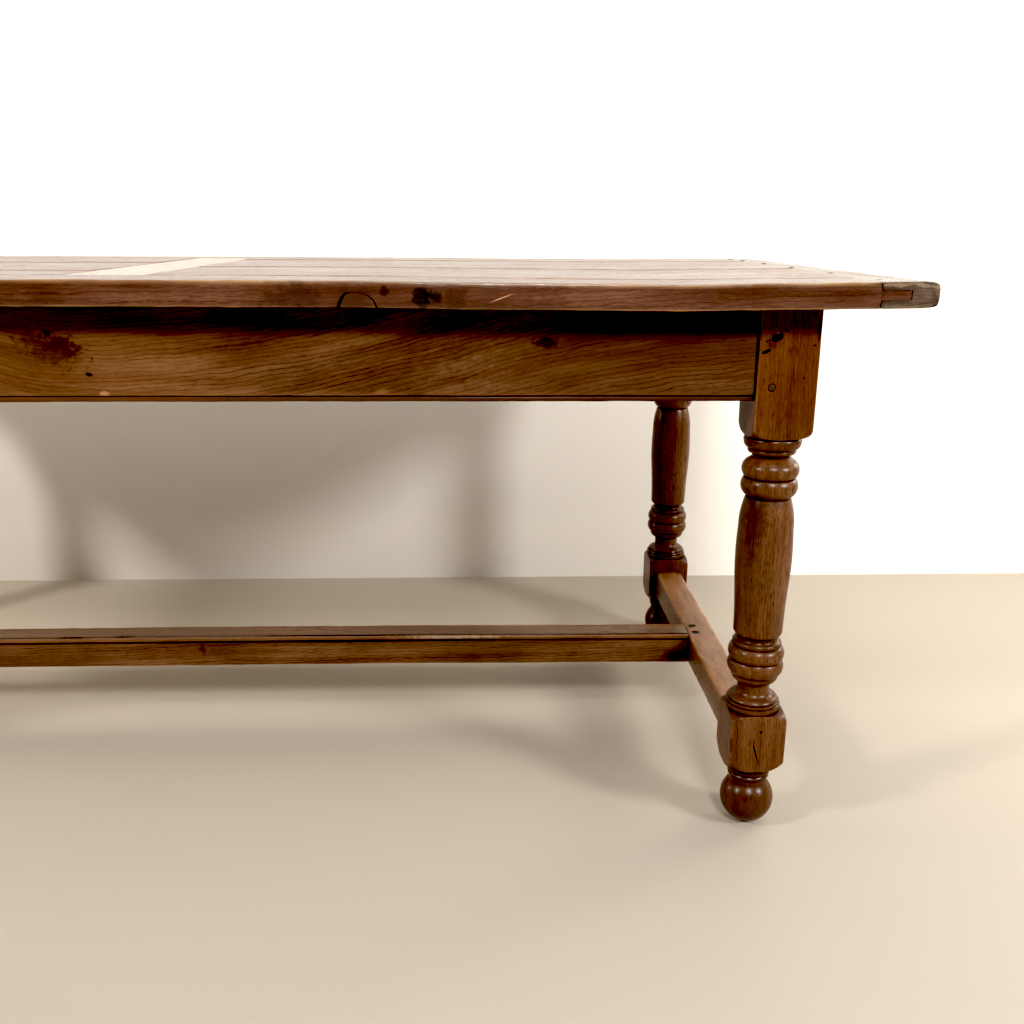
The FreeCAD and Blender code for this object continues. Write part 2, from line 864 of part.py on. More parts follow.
for side, sign in (("left", -1), ("right", 1)):
    half_holes = both_sides(screw_holes, "y")
    if sign < 0:
        half_holes = [mirrored(hole, "x") for hole in half_holes]
    peg_places = [-border_middle]
    line = -border_line
    for number, share in enumerate(PLANK_SHARES[side], start=1):
        next_line = line + border_line * 2 * share
        last = number == len(PLANK_SHARES[side])
        middle = (line + next_line) / 2
        holes = half_holes + [cleat_peg(sign, middle, cleat_hole, size.cut_overrun)]
        node(f"top_plank_{side}_{number}", plank(sign, line, next_line, last, holes))
        peg_places.append(middle)
        line = next_line
    peg_places.append(border_middle)

    cleat = padded("XY_Plane", cleat_outline(), size.top_thickness)
    place(cleat, cleat_line + half_gap, -half_width, underside)
    groove = block(
        span(sign, cleat_line - size.cut_overrun, tongue_end + size.end_gap),
        (-(half_width + size.cut_overrun), half_width + size.cut_overrun),
        eased(tongue_z),
    )
    cleat_holes = [cleat_peg(sign, y, cleat_hole, size.cut_overrun) for y in peg_places]
    blank = cleat if sign > 0 else mirrored(cleat, "x")
    node(f"top_cleat_{side}", cut(blank, [groove] + cleat_holes))
    pegs = [cleat_peg(sign, y, size.cleat_peg_diameter, 0) for y in peg_places]
    node(f"cleat_pegs_{side}", group(pegs))


# Check every object, then write one file for each piece

doc.recompute()
for thing in doc.Objects:
    if "Invalid" in thing.State or "Error" in thing.State:
        raise RuntimeError(f"{thing.Name} ({thing.Label}) failed: {thing.State}")
for piece in nodes:
    if piece.Shape.isNull() or not piece.Shape.isValid():
        raise RuntimeError(f"{piece.Label} has no valid shape")

os.makedirs("parts", exist_ok=True)
for piece in nodes:
    piece.Shape.exportStep(f"parts/{piece.Label}.step")
    print(piece.Label, len(piece.Shape.Solids), round(piece.Shape.Volume / 1000, 1), "cm3")
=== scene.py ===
import math
import random

import bmesh
import bpy
from mathutils import Euler, Matrix, Vector


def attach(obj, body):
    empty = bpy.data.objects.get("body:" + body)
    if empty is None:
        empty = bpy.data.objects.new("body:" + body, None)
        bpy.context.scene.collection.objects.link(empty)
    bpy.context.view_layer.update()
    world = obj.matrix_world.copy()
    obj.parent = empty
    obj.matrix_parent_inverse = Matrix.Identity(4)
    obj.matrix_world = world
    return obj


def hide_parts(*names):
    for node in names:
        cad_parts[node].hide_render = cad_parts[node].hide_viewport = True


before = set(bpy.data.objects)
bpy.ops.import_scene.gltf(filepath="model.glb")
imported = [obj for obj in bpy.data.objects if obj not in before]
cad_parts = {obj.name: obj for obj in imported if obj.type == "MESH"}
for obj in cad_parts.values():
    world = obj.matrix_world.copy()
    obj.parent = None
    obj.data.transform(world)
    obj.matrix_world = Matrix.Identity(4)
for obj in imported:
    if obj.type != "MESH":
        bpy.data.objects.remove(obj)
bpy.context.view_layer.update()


# Legs
# Each leg is one oak billet, left square where the rails are jointed in and turned between the blocks.
# The lathe leaves shoulders on the blocks, rings, beads and a vase, and a ball at the foot, all waxed.
LEG_PLACES = {
    "leg_front_right": (0.839, -0.330),
    "leg_front_left": (-0.839, -0.330),
    "leg_back_right": (0.839, 0.330),
    "leg_back_left": (-0.839, 0.330),
}
HALF_LEG = 0.038
LEG_ARRIS = 0.0018
LEG_SIDES = 128
LOWER_BLOCK = (0.096, 0.1805)
UPPER_BLOCK = (0.564, 0.729)
# Outline from the floor up, in millimetres: (radius, height), or (radius, height, and the radius and
# height of a place on the arc that arrives there). The blocks are drawn wider than their corners.
LEG_OUTLINE = (
    (0, 0),
    # Pad and ball of the foot
    (10, 0),
    (10, 3),
    (26.6, 64.3, 37, 38.6),
    # Neck, thin ring and the swelling under the block
    (26.4, 73.6),
    (27.6, 74.2),
    (27.8, 78.8, 28.8, 76.5),
    (27.2, 79.6),
    (27.4, 80.6),
    (28.6, 81.2),
    (30, 88.1, 30.3, 84.3),
    (36.9, 94.8),
    (36.9, 96),
    # Lower block with its shoulders
    (40.8, 96),
    (54.2, 112.2, 48.5, 103.3),
    (60, 112.5),
    (60, 164),
    (54.2, 164.3),
    (38, 180.5, 49.5, 175.7),
    # Two rings over the block
    (36.5, 180.6),
    (37.4, 181.6),
    (37, 188, 37.9, 185),
    (35.6, 188.8),
    (36.2, 190),
    (35, 192.8, 36.6, 191.3),
    (33.4, 193.6),
    # Bell, neck and ring
    (34.3, 194.4),
    (30, 199.2, 32.9, 197),
    (21.8, 209, 23.4, 203),
    (21.6, 218.6),
    (24, 220.2),
    (32, 229.2, 29.8, 223.8),
    (32.4, 231.2),
    # Lower pair of beads
    (33.2, 232.2),
    (35.2, 252.5, 37.9, 243.2),
    (34.2, 253.3),
    (35, 254.2),
    (33.9, 272.4, 37.8, 262.8),
    (32, 273.3),
    (32, 274.4),
    # Ring and cove under the vase
    (32.6, 275.2),
    (31, 280.8, 33, 278.2),
    (27.4, 284.2, 28.6, 282.2),
    (27, 287.6),
    # Vase
    (28.2, 288.4),
    (33, 295.2, 31.3, 290.8),
    (35.2, 355, 33.7, 325),
    (36, 440, 37.2, 395),
    (29.6, 481.5, 33.9, 465),
    (28.2, 482.3),
    (28.4, 483.4),
    # Upper pair of beads
    (30, 484.2),
    (33.2, 508.2, 36.8, 498.5),
    (31.8, 508.8),
    (33, 509.6),
    (28.5, 533, 36.9, 519.5),
    (24.6, 536.3),
    # Neck, ring and collar
    (24.3, 538.6),
    (28.2, 541),
    (30.5, 546.4, 30.6, 542.8),
    (30.9, 547.2),
    (36.6, 556.4, 35, 550.8),
    (35.8, 562.2, 36.9, 560),
    (34, 562.7),
    (34, 564),
    # Upper block with its shoulder
    (38, 564),
    (54.2, 584, 49.9, 570.6),
    (60, 584.3),
    (60, 729),
    (0, 729),
)
# Old wax darkens the turning: (height in millimetres, share). The grooves, at these heights, are full of it.
LEG_WAX = (
    (0, 0.6), (62, 0.6), (66, 0.8), (95, 0.65), (98, 0.35), (113, 0.1), (163, 0.1), (172, 0.35), (181, 0.45),
    (215, 0.35), (233, 0.2), (272, 0.2), (281, 0.65), (287, 0.8), (293, 0.15), (470, 0), (482, 0.4),
    (486, 0), (534, 0), (538, 0.5), (546, 0.2), (563, 0.3), (566, 0.1), (580, 0.1), (732, 0.1),
)
LEG_GROOVES = (80, 95.5, 180.6, 188.8, 193.6, 231.5, 253.3, 273.9, 482.8, 508.8, 537.4, 547, 563.2)


def along_outline(outline, line_reach, arc_reach):
    """Places along an outline, no further apart than line_reach, or arc_reach on its arcs."""
    places = [Vector(outline[0][:2])]
    for radius, height, *over in outline[1:]:
        start = places[-1]
        end = Vector((radius, height))
        if over:
            rise, chord = Vector(over) - start, end - start
            twice_area = 2 * rise.cross(chord)
            middle = start + Vector((
                chord.y * rise.length_squared - rise.y * chord.length_squared,
                rise.x * chord.length_squared - chord.x * rise.length_squared,
            )) / twice_area
            first = math.atan2(start.y - middle.y, start.x - middle.x)
            last = math.atan2(end.y - middle.y, end.x - middle.x)
            sweep = (last - first) % math.tau
            if twice_area < 0:
                sweep -= math.tau
            reach = (start - middle).length
            count = max(3, math.ceil(abs(sweep) * reach / arc_reach))
            for step in range(1, count):
                angle = first + sweep * step / count
                places.append(middle + reach * Vector((math.cos(angle), math.sin(angle))))
        else:
            count = max(1, math.ceil((end - start).length / line_reach))
            for step in range(1, count):
                places.append(start.lerp(end, step / count))
        places.append(end)
    return places


def drawn(name, places):
    """A chain of edges through the places, left in edit mode with its last vertex selected."""
    bpy.ops.object.select_all(action="DESELECT")
    bpy.ops.mesh.primitive_plane_add(size=0.01, location=places[0])
    piece = bpy.context.object
    piece.name = name
    bpy.ops.object.transform_apply(location=True, rotation=True, scale=True)
    bpy.ops.object.mode_set(mode="EDIT")
    bpy.ops.mesh.select_mode(type="VERT")
    bpy.ops.mesh.merge(type="CENTER")
    for start, end in zip(places, places[1:]):
        bpy.ops.mesh.extrude_region_move(TRANSFORM_OT_translate={"value": Vector(end) - Vector(start)})
    return piece


def closed_up():
    """Merges what touches in the piece being edited, turns its faces outwards and leaves edit mode."""
    bpy.ops.mesh.select_all(action="SELECT")
    bpy.ops.mesh.remove_doubles(threshold=0.00001)
    bpy.ops.mesh.normals_make_consistent(inside=False)
    bpy.ops.object.mode_set(mode="OBJECT")


def square_reach(angle, half, arris):
    """How far a square with rounded corners reaches from its middle at this angle."""
    side = abs((angle + math.pi / 4) % (math.pi / 2) - math.pi / 4)
    flat = half / math.cos(side)
    if flat * math.sin(side) <= half - arris:
        return flat
    ahead = (half - arris) * (math.cos(side) + math.sin(side))
    return ahead + math.sqrt(ahead * ahead - 2 * (half - arris) ** 2 + arris * arris)


leg_places = along_outline(LEG_OUTLINE, line_reach=3, arc_reach=1.3)
turned_leg = drawn("turned_leg", [(radius / 1000, 0, height / 1000) for radius, height in leg_places])
bpy.ops.mesh.select_all(action="SELECT")
bpy.ops.mesh.spin(steps=LEG_SIDES, angle=math.tau, center=(0, 0, 0), axis=(0, 0, 1))
closed_up()


def along(rows, place):
    """The value at a place in rows of (place, value), straight between one row and the next."""
    for (start, low), (end, high) in zip(rows, rows[1:]):
        if place <= end:
            return low + (high - low) * (place - start) / (end - start)
    return rows[-1][1]


def marked(piece, name, shares):
    """Writes shares, given by vertex, as an attribute of the piece that its finish can read."""
    attribute = piece.data.attributes.new(name, "FLOAT", "POINT")
    for index, share in shares.items():
        attribute.data[index].value = share


# The blocks are planed square. More of the spun edges are gathered at the corners, where the arris is.
CORNER_GATHER = 0.16
SHOULDER_BLUNT = 0.0007
wear, wax = {}, {}
for vertex in turned_leg.data.vertices:
    reach = vertex.co.xy.length
    if reach < 0.0001:
        continue
    turn = math.atan2(vertex.co.y, vertex.co.x)
    turn += CORNER_GATHER * math.sin(4 * turn)
    height = vertex.co.z * 1000
    in_groove = min(abs(height - groove) for groove in LEG_GROOVES) < 0.9
    wax_here = 1.0 if in_groove else along(LEG_WAX, height)
    in_block = any(low - 0.0002 < vertex.co.z < high + 0.0002 for low, high in (LOWER_BLOCK, UPPER_BLOCK))
    if in_block and reach > HALF_LEG - 0.0005:
        square = square_reach(turn, HALF_LEG, LEG_ARRIS)
        if reach > square and height < 200:
            wax_here = 0.0
        reach = (reach + square - math.hypot(reach - square, SHOULDER_BLUNT)) / 2
    vertex.co.x = reach * math.cos(turn)
    vertex.co.y = reach * math.sin(turn)
    wax[vertex.index] = wax_here
    corner = min(abs(vertex.co.x), abs(vertex.co.y))
    wear[vertex.index] = min(1.0, max(0.0, (corner - HALF_LEG) / 0.0013 + 1.5))
marked(turned_leg, "wear", wear)
marked(turned_leg, "wax", wax)


def add_node(finish, kind, inputs=None, **settings):
    """Adds a shader node. An input is a value, a socket, or a node whose first output is meant."""
    node = finish.node_tree.nodes.new("ShaderNode" + kind)
    for setting, value in settings.items():
        setattr(node, setting, value)
    for key, value in (inputs or {}).items():
        if isinstance(value, bpy.types.Node):
            value = value.outputs[0]
        if isinstance(value, bpy.types.NodeSocket):
            finish.node_tree.links.new(value, node.inputs[key])
        else:
            node.inputs[key].default_value = value
    return node


def maths(finish, operation, first, second=0.0):
    """A sum worked out in the shader."""
    return add_node(finish, "Math", {0: first, 1: second}, operation=operation)


def eased(finish, value, low, high, start=0.0, end=1.0):
    """The value carried smoothly from start to end as it goes from low to high."""
    inputs = {"Value": value, "From Min": low, "From Max": high, "To Min": start, "To Max": end}
    return add_node(finish, "MapRange", inputs, interpolation_type="SMOOTHSTEP")


def stretched_noise(finish, place, stretch, detail, roughness=0.5):
    """Noise of so many spots to the metre along the grain and across it."""
    scaled = add_node(finish, "Mapping", {"Vector": place, "Scale": stretch})
    inputs = {"Vector": scaled, "Scale": 1.0, "Detail": detail, "Roughness": roughness}
    return add_node(finish, "TexNoise", inputs)


def mixed(finish, share, first, second, blend="MIX"):
    """Two colours mixed."""
    return add_node(finish, "MixRGB", {"Fac": share, "Color1": first, "Color2": second}, blend_type=blend)


def strayed_by(finish, place, stretch, detail, roughness, reach):
    """The place moved about by noise, as far as half the reach each way."""
    noise = stretched_noise(finish, place, stretch, detail, roughness).outputs["Color"]
    shift = add_node(finish, "VectorMath", {0: noise, 1: (0.5, 0.5, 0.5)}, operation="SUBTRACT")
    shift = add_node(finish, "VectorMath", {0: shift, "Scale": reach}, operation="SCALE")
    return add_node(finish, "VectorMath", {0: place, 1: shift}, operation="ADD").outputs[0]


def oak_finish(name, dark, mid, light, worn, ring, wander, line, fleck, rough, shine, coat, polish=0.2):
    """Oak cut from a round tree, with the grain along X of its Mapping node and the heart on that axis.

    ring is the width of a year's growth, wander is how far the trunk strays, both in metres; line and
    fleck are the depths of the year lines and of the dashes of the pores; rough is the range of the
    roughness, shine the gloss of the wood itself, coat the weight of the polish on it and polish the
    roughness of that coat. A mesh says by "rise" how far its grain climbs."""
    finish = bpy.data.materials.new(name)
    finish.use_nodes = True
    finish.node_tree.nodes.clear()
    here = add_node(finish, "TexCoord").outputs["Object"]
    rise = add_node(finish, "Attribute", attribute_name="rise").outputs["Fac"]
    climb = add_node(finish, "CombineXYZ", {"Z": rise})
    here = add_node(finish, "VectorMath", {0: here, 1: climb}, operation="SUBTRACT")
    place = add_node(finish, "Mapping", {"Vector": here})
    place.name = "cut"
    place = place.outputs[0]

    # Year rings: the distance from the heart, strayed by slow noise, by waves and by a fine shake
    strayed = strayed_by(finish, place, (1.6, 5, 5), 4, 0.42, wander)
    strayed = strayed_by(finish, strayed, (16, 38, 38), 2, 0.5, ring * 2.0)
    strayed = strayed_by(finish, strayed, (60, 220, 220), 2, 0.5, ring * 0.3)
    across = add_node(finish, "VectorMath", {0: strayed, 1: (0, 1, 1)}, operation="MULTIPLY")
    from_heart = add_node(finish, "VectorMath", {0: across}, operation="LENGTH").outputs["Value"]
    years = maths(finish, "DIVIDE", from_heart, ring)
    season = maths(finish, "FRACT", years)
    year = maths(finish, "FLOOR", years)
    vigour = add_node(finish, "TexWhiteNoise", {"W": year}, noise_dimensions="1D").outputs["Value"]
    spring = eased(finish, season, 0.0, 0.22, 1.0, 0.0)
    autumn = eased(finish, season, 0.92, 1.0, 0.0, 1.0)
    year_line = maths(finish, "MAXIMUM", spring, autumn)
    year_line = maths(finish, "MULTIPLY", year_line, eased(finish, vigour, 0.0, 1.0, 0.35, 1.0))

    # Pores are short dark dashes along the grain, coarse and fine, with paler wood between the coarse ones
    dashes = stretched_noise(finish, place, (90, 600, 600), 3, 0.65)
    pale_dashes = eased(finish, dashes, 0.36, 0.48, 1.0, 0.0)
    fine_dashes = stretched_noise(finish, place, (70, 1300, 1300), 2, 0.6)
    pores = eased(finish, fine_dashes, 0.54, 0.64)
    pores = maths(finish, "MULTIPLY", pores, eased(finish, year_line, 0.0, 0.7, 0.3, 1.0))
    pores = maths(finish, "MAXIMUM", pores, eased(finish, dashes, 0.52, 0.66))

    # Colour: streaks along the grain, year lines, pores, rays across the grain, and blotches of old wax
    streaks = stretched_noise(finish, place, (2.2, 85, 85), 4, 0.6)
    colour = mixed(finish, eased(finish, streaks, 0.32, 0.68), mid, light)
    colour = mixed(finish, maths(finish, "MULTIPLY", year_line, line), colour, dark)
    colour = mixed(finish, maths(finish, "MULTIPLY", pores, fleck), colour, dark)
    colour = mixed(finish, maths(finish, "MULTIPLY", pale_dashes, fleck * 0.3), colour, worn)
    rays = eased(finish, stretched_noise(finish, place, (240, 80, 80), 1), 0.58, 0.70)
    patches = stretched_noise(finish, place, (9, 22, 22), 1)
    figure = eased(finish, patches, 0.46, 0.6, 0.0, 0.0)
    figure.name = "figure"
    colour = mixed(finish, maths(finish, "MULTIPLY", rays, figure), colour, worn)
    blotches = stretched_noise(finish, place, (5, 13, 13), 3, 0.6)
    shade = eased(finish, blotches, 0.28, 0.72, 0.62, 1.18)
    colour = mixed(finish, 1.0, colour, shade, "MULTIPLY")

    # Wear: arrises rubbed pale and old wax over the turning; the hollows are darkened too, as dirt and
    # painted shade together
    edge = add_node(finish, "NewGeometry").outputs["Pointiness"]
    rub = stretched_noise(finish, place, (18, 70, 70), 3, 0.6)
    arris = add_node(finish, "Attribute", attribute_name="wear").outputs["Fac"]
    rubbed = maths(finish, "MULTIPLY", arris, eased(finish, rub, 0.32, 0.62, 0.45, 0.9))
    rubbed = maths(finish, "MAXIMUM", rubbed, eased(finish, edge, 0.53, 0.62, 0.0, 0.4))
    colour = mixed(finish, rubbed, colour, worn)
    wax = add_node(finish, "Attribute", attribute_name="wax").outputs["Fac"]
    colour = mixed(finish, maths(finish, "MULTIPLY", wax, 0.85), colour, (0.024, 0.010, 0.005, 1))
    # Painted shade with dirt: hollows, found by pointiness, are darkened towards near-black
    colour = mixed(finish, eased(finish, edge, 0.40, 0.485, 0.88, 0.0), colour, (0.006, 0.003, 0.002, 1))

    # Relief: pores and year lines are sunk, and the wood between them is finely uneven
    pore_depth = maths(finish, "MULTIPLY", pores, 0.6)
    depth = maths(finish, "ADD", pore_depth, maths(finish, "MULTIPLY", year_line, 0.35))
    fine = stretched_noise(finish, place, (30, 500, 500), 2)
    height = maths(finish, "SUBTRACT", maths(finish, "MULTIPLY", fine, 0.5), depth)
    bump = add_node(finish, "Bump", {"Height": height, "Strength": 0.22, "Distance": 0.0005})
    low, high = rough
    gloss = eased(finish, blotches, 0.3, 0.7, low, high)
    gloss = maths(finish, "ADD", gloss, maths(finish, "MULTIPLY", pores, 0.2))
    wood = add_node(finish, "BsdfPrincipled", {
        "Base Color": colour, "Roughness": gloss, "Normal": bump, "Specular IOR Level": shine,
        "Coat Weight": coat, "Coat Roughness": polish,
    })
    wood.name = "wood"
    add_node(finish, "OutputMaterial", {"Surface": wood})
    return finish


GRAIN_TURNS = {"X": (0, 0, 0), "Y": (0, 0, -90), "Z": (0, 90, 0)}


def cut_from(finish, piece, grain, heart, lean=(0, 0, 0), rays=0.0):
    """Gives the piece its own cut of the finish: the grain's direction, a place on the heart, the lean of
    the heart against the grain in degrees, and how far the pale rays show."""
    own = finish.copy()
    own.name = piece.name + "_" + finish.name
    cut = own.node_tree.nodes["cut"]
    turn = Euler([math.radians(angle) for angle in lean]).to_matrix()
    turn = turn @ Euler([math.radians(angle) for angle in GRAIN_TURNS[grain]]).to_matrix()
    cut.inputs["Rotation"].default_value = turn.to_euler()
    cut.inputs["Location"].default_value = -(turn @ Vector(heart))
    own.node_tree.nodes["figure"].inputs["To Max"].default_value = rays
    piece.data.materials.clear()
    piece.data.materials.append(own)


def finish_by(piece, modifier, **settings):
    """Puts a modifier on the piece and applies it."""
    bpy.ops.object.select_all(action="DESELECT")
    bpy.context.view_layer.objects.active = piece
    piece.select_set(True)
    added = piece.modifiers.new(modifier.lower(), modifier)
    for setting, value in settings.items():
        setattr(added, setting, value)
    bpy.ops.object.modifier_apply(modifier=added.name)


def weathered(piece, depth, spot, group="", bite=False, contrast=1.0):
    """Lets the surface rise and fall by the depth over spots of that size; bite only takes wood away."""
    unevenness = bpy.data.textures.new(piece.name + "_unevenness", "CLOUDS")
    unevenness.noise_scale = spot
    unevenness.noise_depth = 2
    unevenness.contrast = contrast
    finish_by(
        piece, "DISPLACE", texture=unevenness, texture_coords="LOCAL", vertex_group=group,
        strength=-depth if bite else depth, mid_level=0.0 if bite else 0.5,
    )


def smooth(piece, angle):
    """Shades the piece smooth but for its edges sharper than the angle in degrees."""
    bpy.ops.object.select_all(action="DESELECT")
    bpy.context.view_layer.objects.active = piece
    piece.select_set(True)
    bpy.ops.object.shade_smooth_by_angle(angle=math.radians(angle))


def bite(centre, radii, turn=(0, 0, 0)):
    """A lump that takes wood away: a chip, a gouge or the mouth of a hole."""
    bpy.ops.object.select_all(action="DESELECT")
    bpy.ops.mesh.primitive_ico_sphere_add(
        subdivisions=3, radius=1, location=centre, rotation=turn, scale=radii,
    )
    lump = bpy.context.object
    bpy.ops.object.transform_apply(location=True, rotation=True, scale=True)
    weathered(lump, min(radii) * 0.5, min(radii) * 1.2)
    return lump


def socket(centre, radius, depth, turn):
    """The round hole that a peg sits in, as a cutter across the surface at the centre."""
    bpy.ops.object.select_all(action="DESELECT")
    bpy.ops.mesh.primitive_cylinder_add(
        vertices=20, radius=radius, depth=depth * 2, location=centre, rotation=turn,
    )
    hole = bpy.context.object
    bpy.ops.object.transform_apply(location=True, rotation=True, scale=True)
    return hole


def split(places, widths, squeeze):
    """A drying crack as a cutter: a thin spindle through the places, squeezed by a factor in each axis."""
    bpy.ops.object.select_all(action="DESELECT")
    bpy.ops.curve.primitive_bezier_curve_add(location=(0, 0, 0))
    crack = bpy.context.object
    line = crack.data
    line.splines.clear()
    spline = line.splines.new("POLY")
    spline.points.add(len(places) - 1)
    middle = sum((Vector(place) for place in places), Vector()) / len(places)
    for point, place, width in zip(spline.points, places, widths):
        away = Vector(place) - middle
        point.co = (*(middle + Vector([gap / factor for gap, factor in zip(away, squeeze)])), 1)
        point.radius = width
    line.dimensions = "3D"
    line.bevel_depth = 1.0
    line.bevel_resolution = 1
    line.use_fill_caps = True
    bpy.ops.object.convert(target="MESH")
    bpy.ops.object.mode_set(mode="EDIT")
    closed_up()
    squeezed = Matrix.Diagonal((*squeeze, 1))
    crack.data.transform(Matrix.Translation(middle) @ squeezed @ Matrix.Translation(-middle))
    return crack


# Painted shade: the inside of cuts, holes and cracks is near-black, varied a little by grime
hollow = bpy.data.materials.new("painted_shade_hollow")
hollow.use_nodes = True
hollow_wood = hollow.node_tree.nodes["Principled BSDF"]
hollow_place = add_node(hollow, "TexCoord").outputs["Object"]
hollow_shade_and_grime = stretched_noise(hollow, hollow_place, (300, 300, 300), 3)
hollow_colour = mixed(hollow, hollow_shade_and_grime, (0.001, 0.0006, 0.0005, 1), (0.006, 0.003, 0.002, 1))
hollow.node_tree.links.new(hollow_colour.outputs[0], hollow_wood.inputs["Base Color"])
hollow_wood.inputs["Roughness"].default_value = 0.85


def carved(piece, cutters, chips=()):
    """Takes the cutters and chips out of the piece. Cuts are painted near-black inside as their shade, chips
    show its own wood.
    """
    lumps = bpy.data.collections.new("cutters")
    for cutter in (*cutters, *chips):
        cutter.data.materials.clear()
        cutter.data.materials.append(piece.data.materials[0] if cutter in chips else hollow)
        lumps.objects.link(cutter)
    finish_by(
        piece, "BOOLEAN", operand_type="COLLECTION", collection=lumps, operation="DIFFERENCE",
        solver="MANIFOLD", material_mode="TRANSFER",
    )
    for cutter in (*cutters, *chips):
        bpy.data.objects.remove(cutter)
    bpy.data.collections.remove(lumps)


def copied(piece, name, place=(0, 0, 0), turn=0.0):
    """A copy of the piece with its own mesh, turned about Z in degrees and put in its place."""
    copy = piece.copy()
    copy.data = piece.data.copy()
    copy.name = name
    bpy.context.scene.collection.objects.link(copy)
    copy.data.transform(Matrix.Translation(place) @ Matrix.Rotation(math.radians(turn), 4, "Z"))
    return copy


def painted_stains_and_shade(piece, marks):
    """Paints marks on the piece's own finish, stains and painted shade alike: (centre, reach along each
    axis, how far it climbs to the right in degrees, raggedness, colour, share)."""
    finish = piece.data.materials[0]
    wood = finish.node_tree.nodes["wood"]
    here = add_node(finish, "TexCoord").outputs["Object"]
    uneven = maths(finish, "SUBTRACT", stretched_noise(finish, here, (110, 110, 110), 3, 0.6), 0.5)
    colour = wood.inputs["Base Color"].links[0].from_socket
    for centre, reach, climb, ragged, tone, share in marks:
        turn = (0, -math.radians(climb), 0)
        inputs = {"Vector": here, "Location": centre, "Rotation": turn, "Scale": reach}
        spot = add_node(finish, "Mapping", inputs, vector_type="TEXTURE")
        away = add_node(finish, "VectorMath", {0: spot}, operation="LENGTH").outputs["Value"]
        away = maths(finish, "ADD", away, maths(finish, "MULTIPLY", uneven, ragged))
        colour = mixed(finish, eased(finish, away, 0.5, 1.2, share, 0.0), colour, tone)
    finish.node_tree.links.new(colour.outputs[0], wood.inputs["Base Color"])


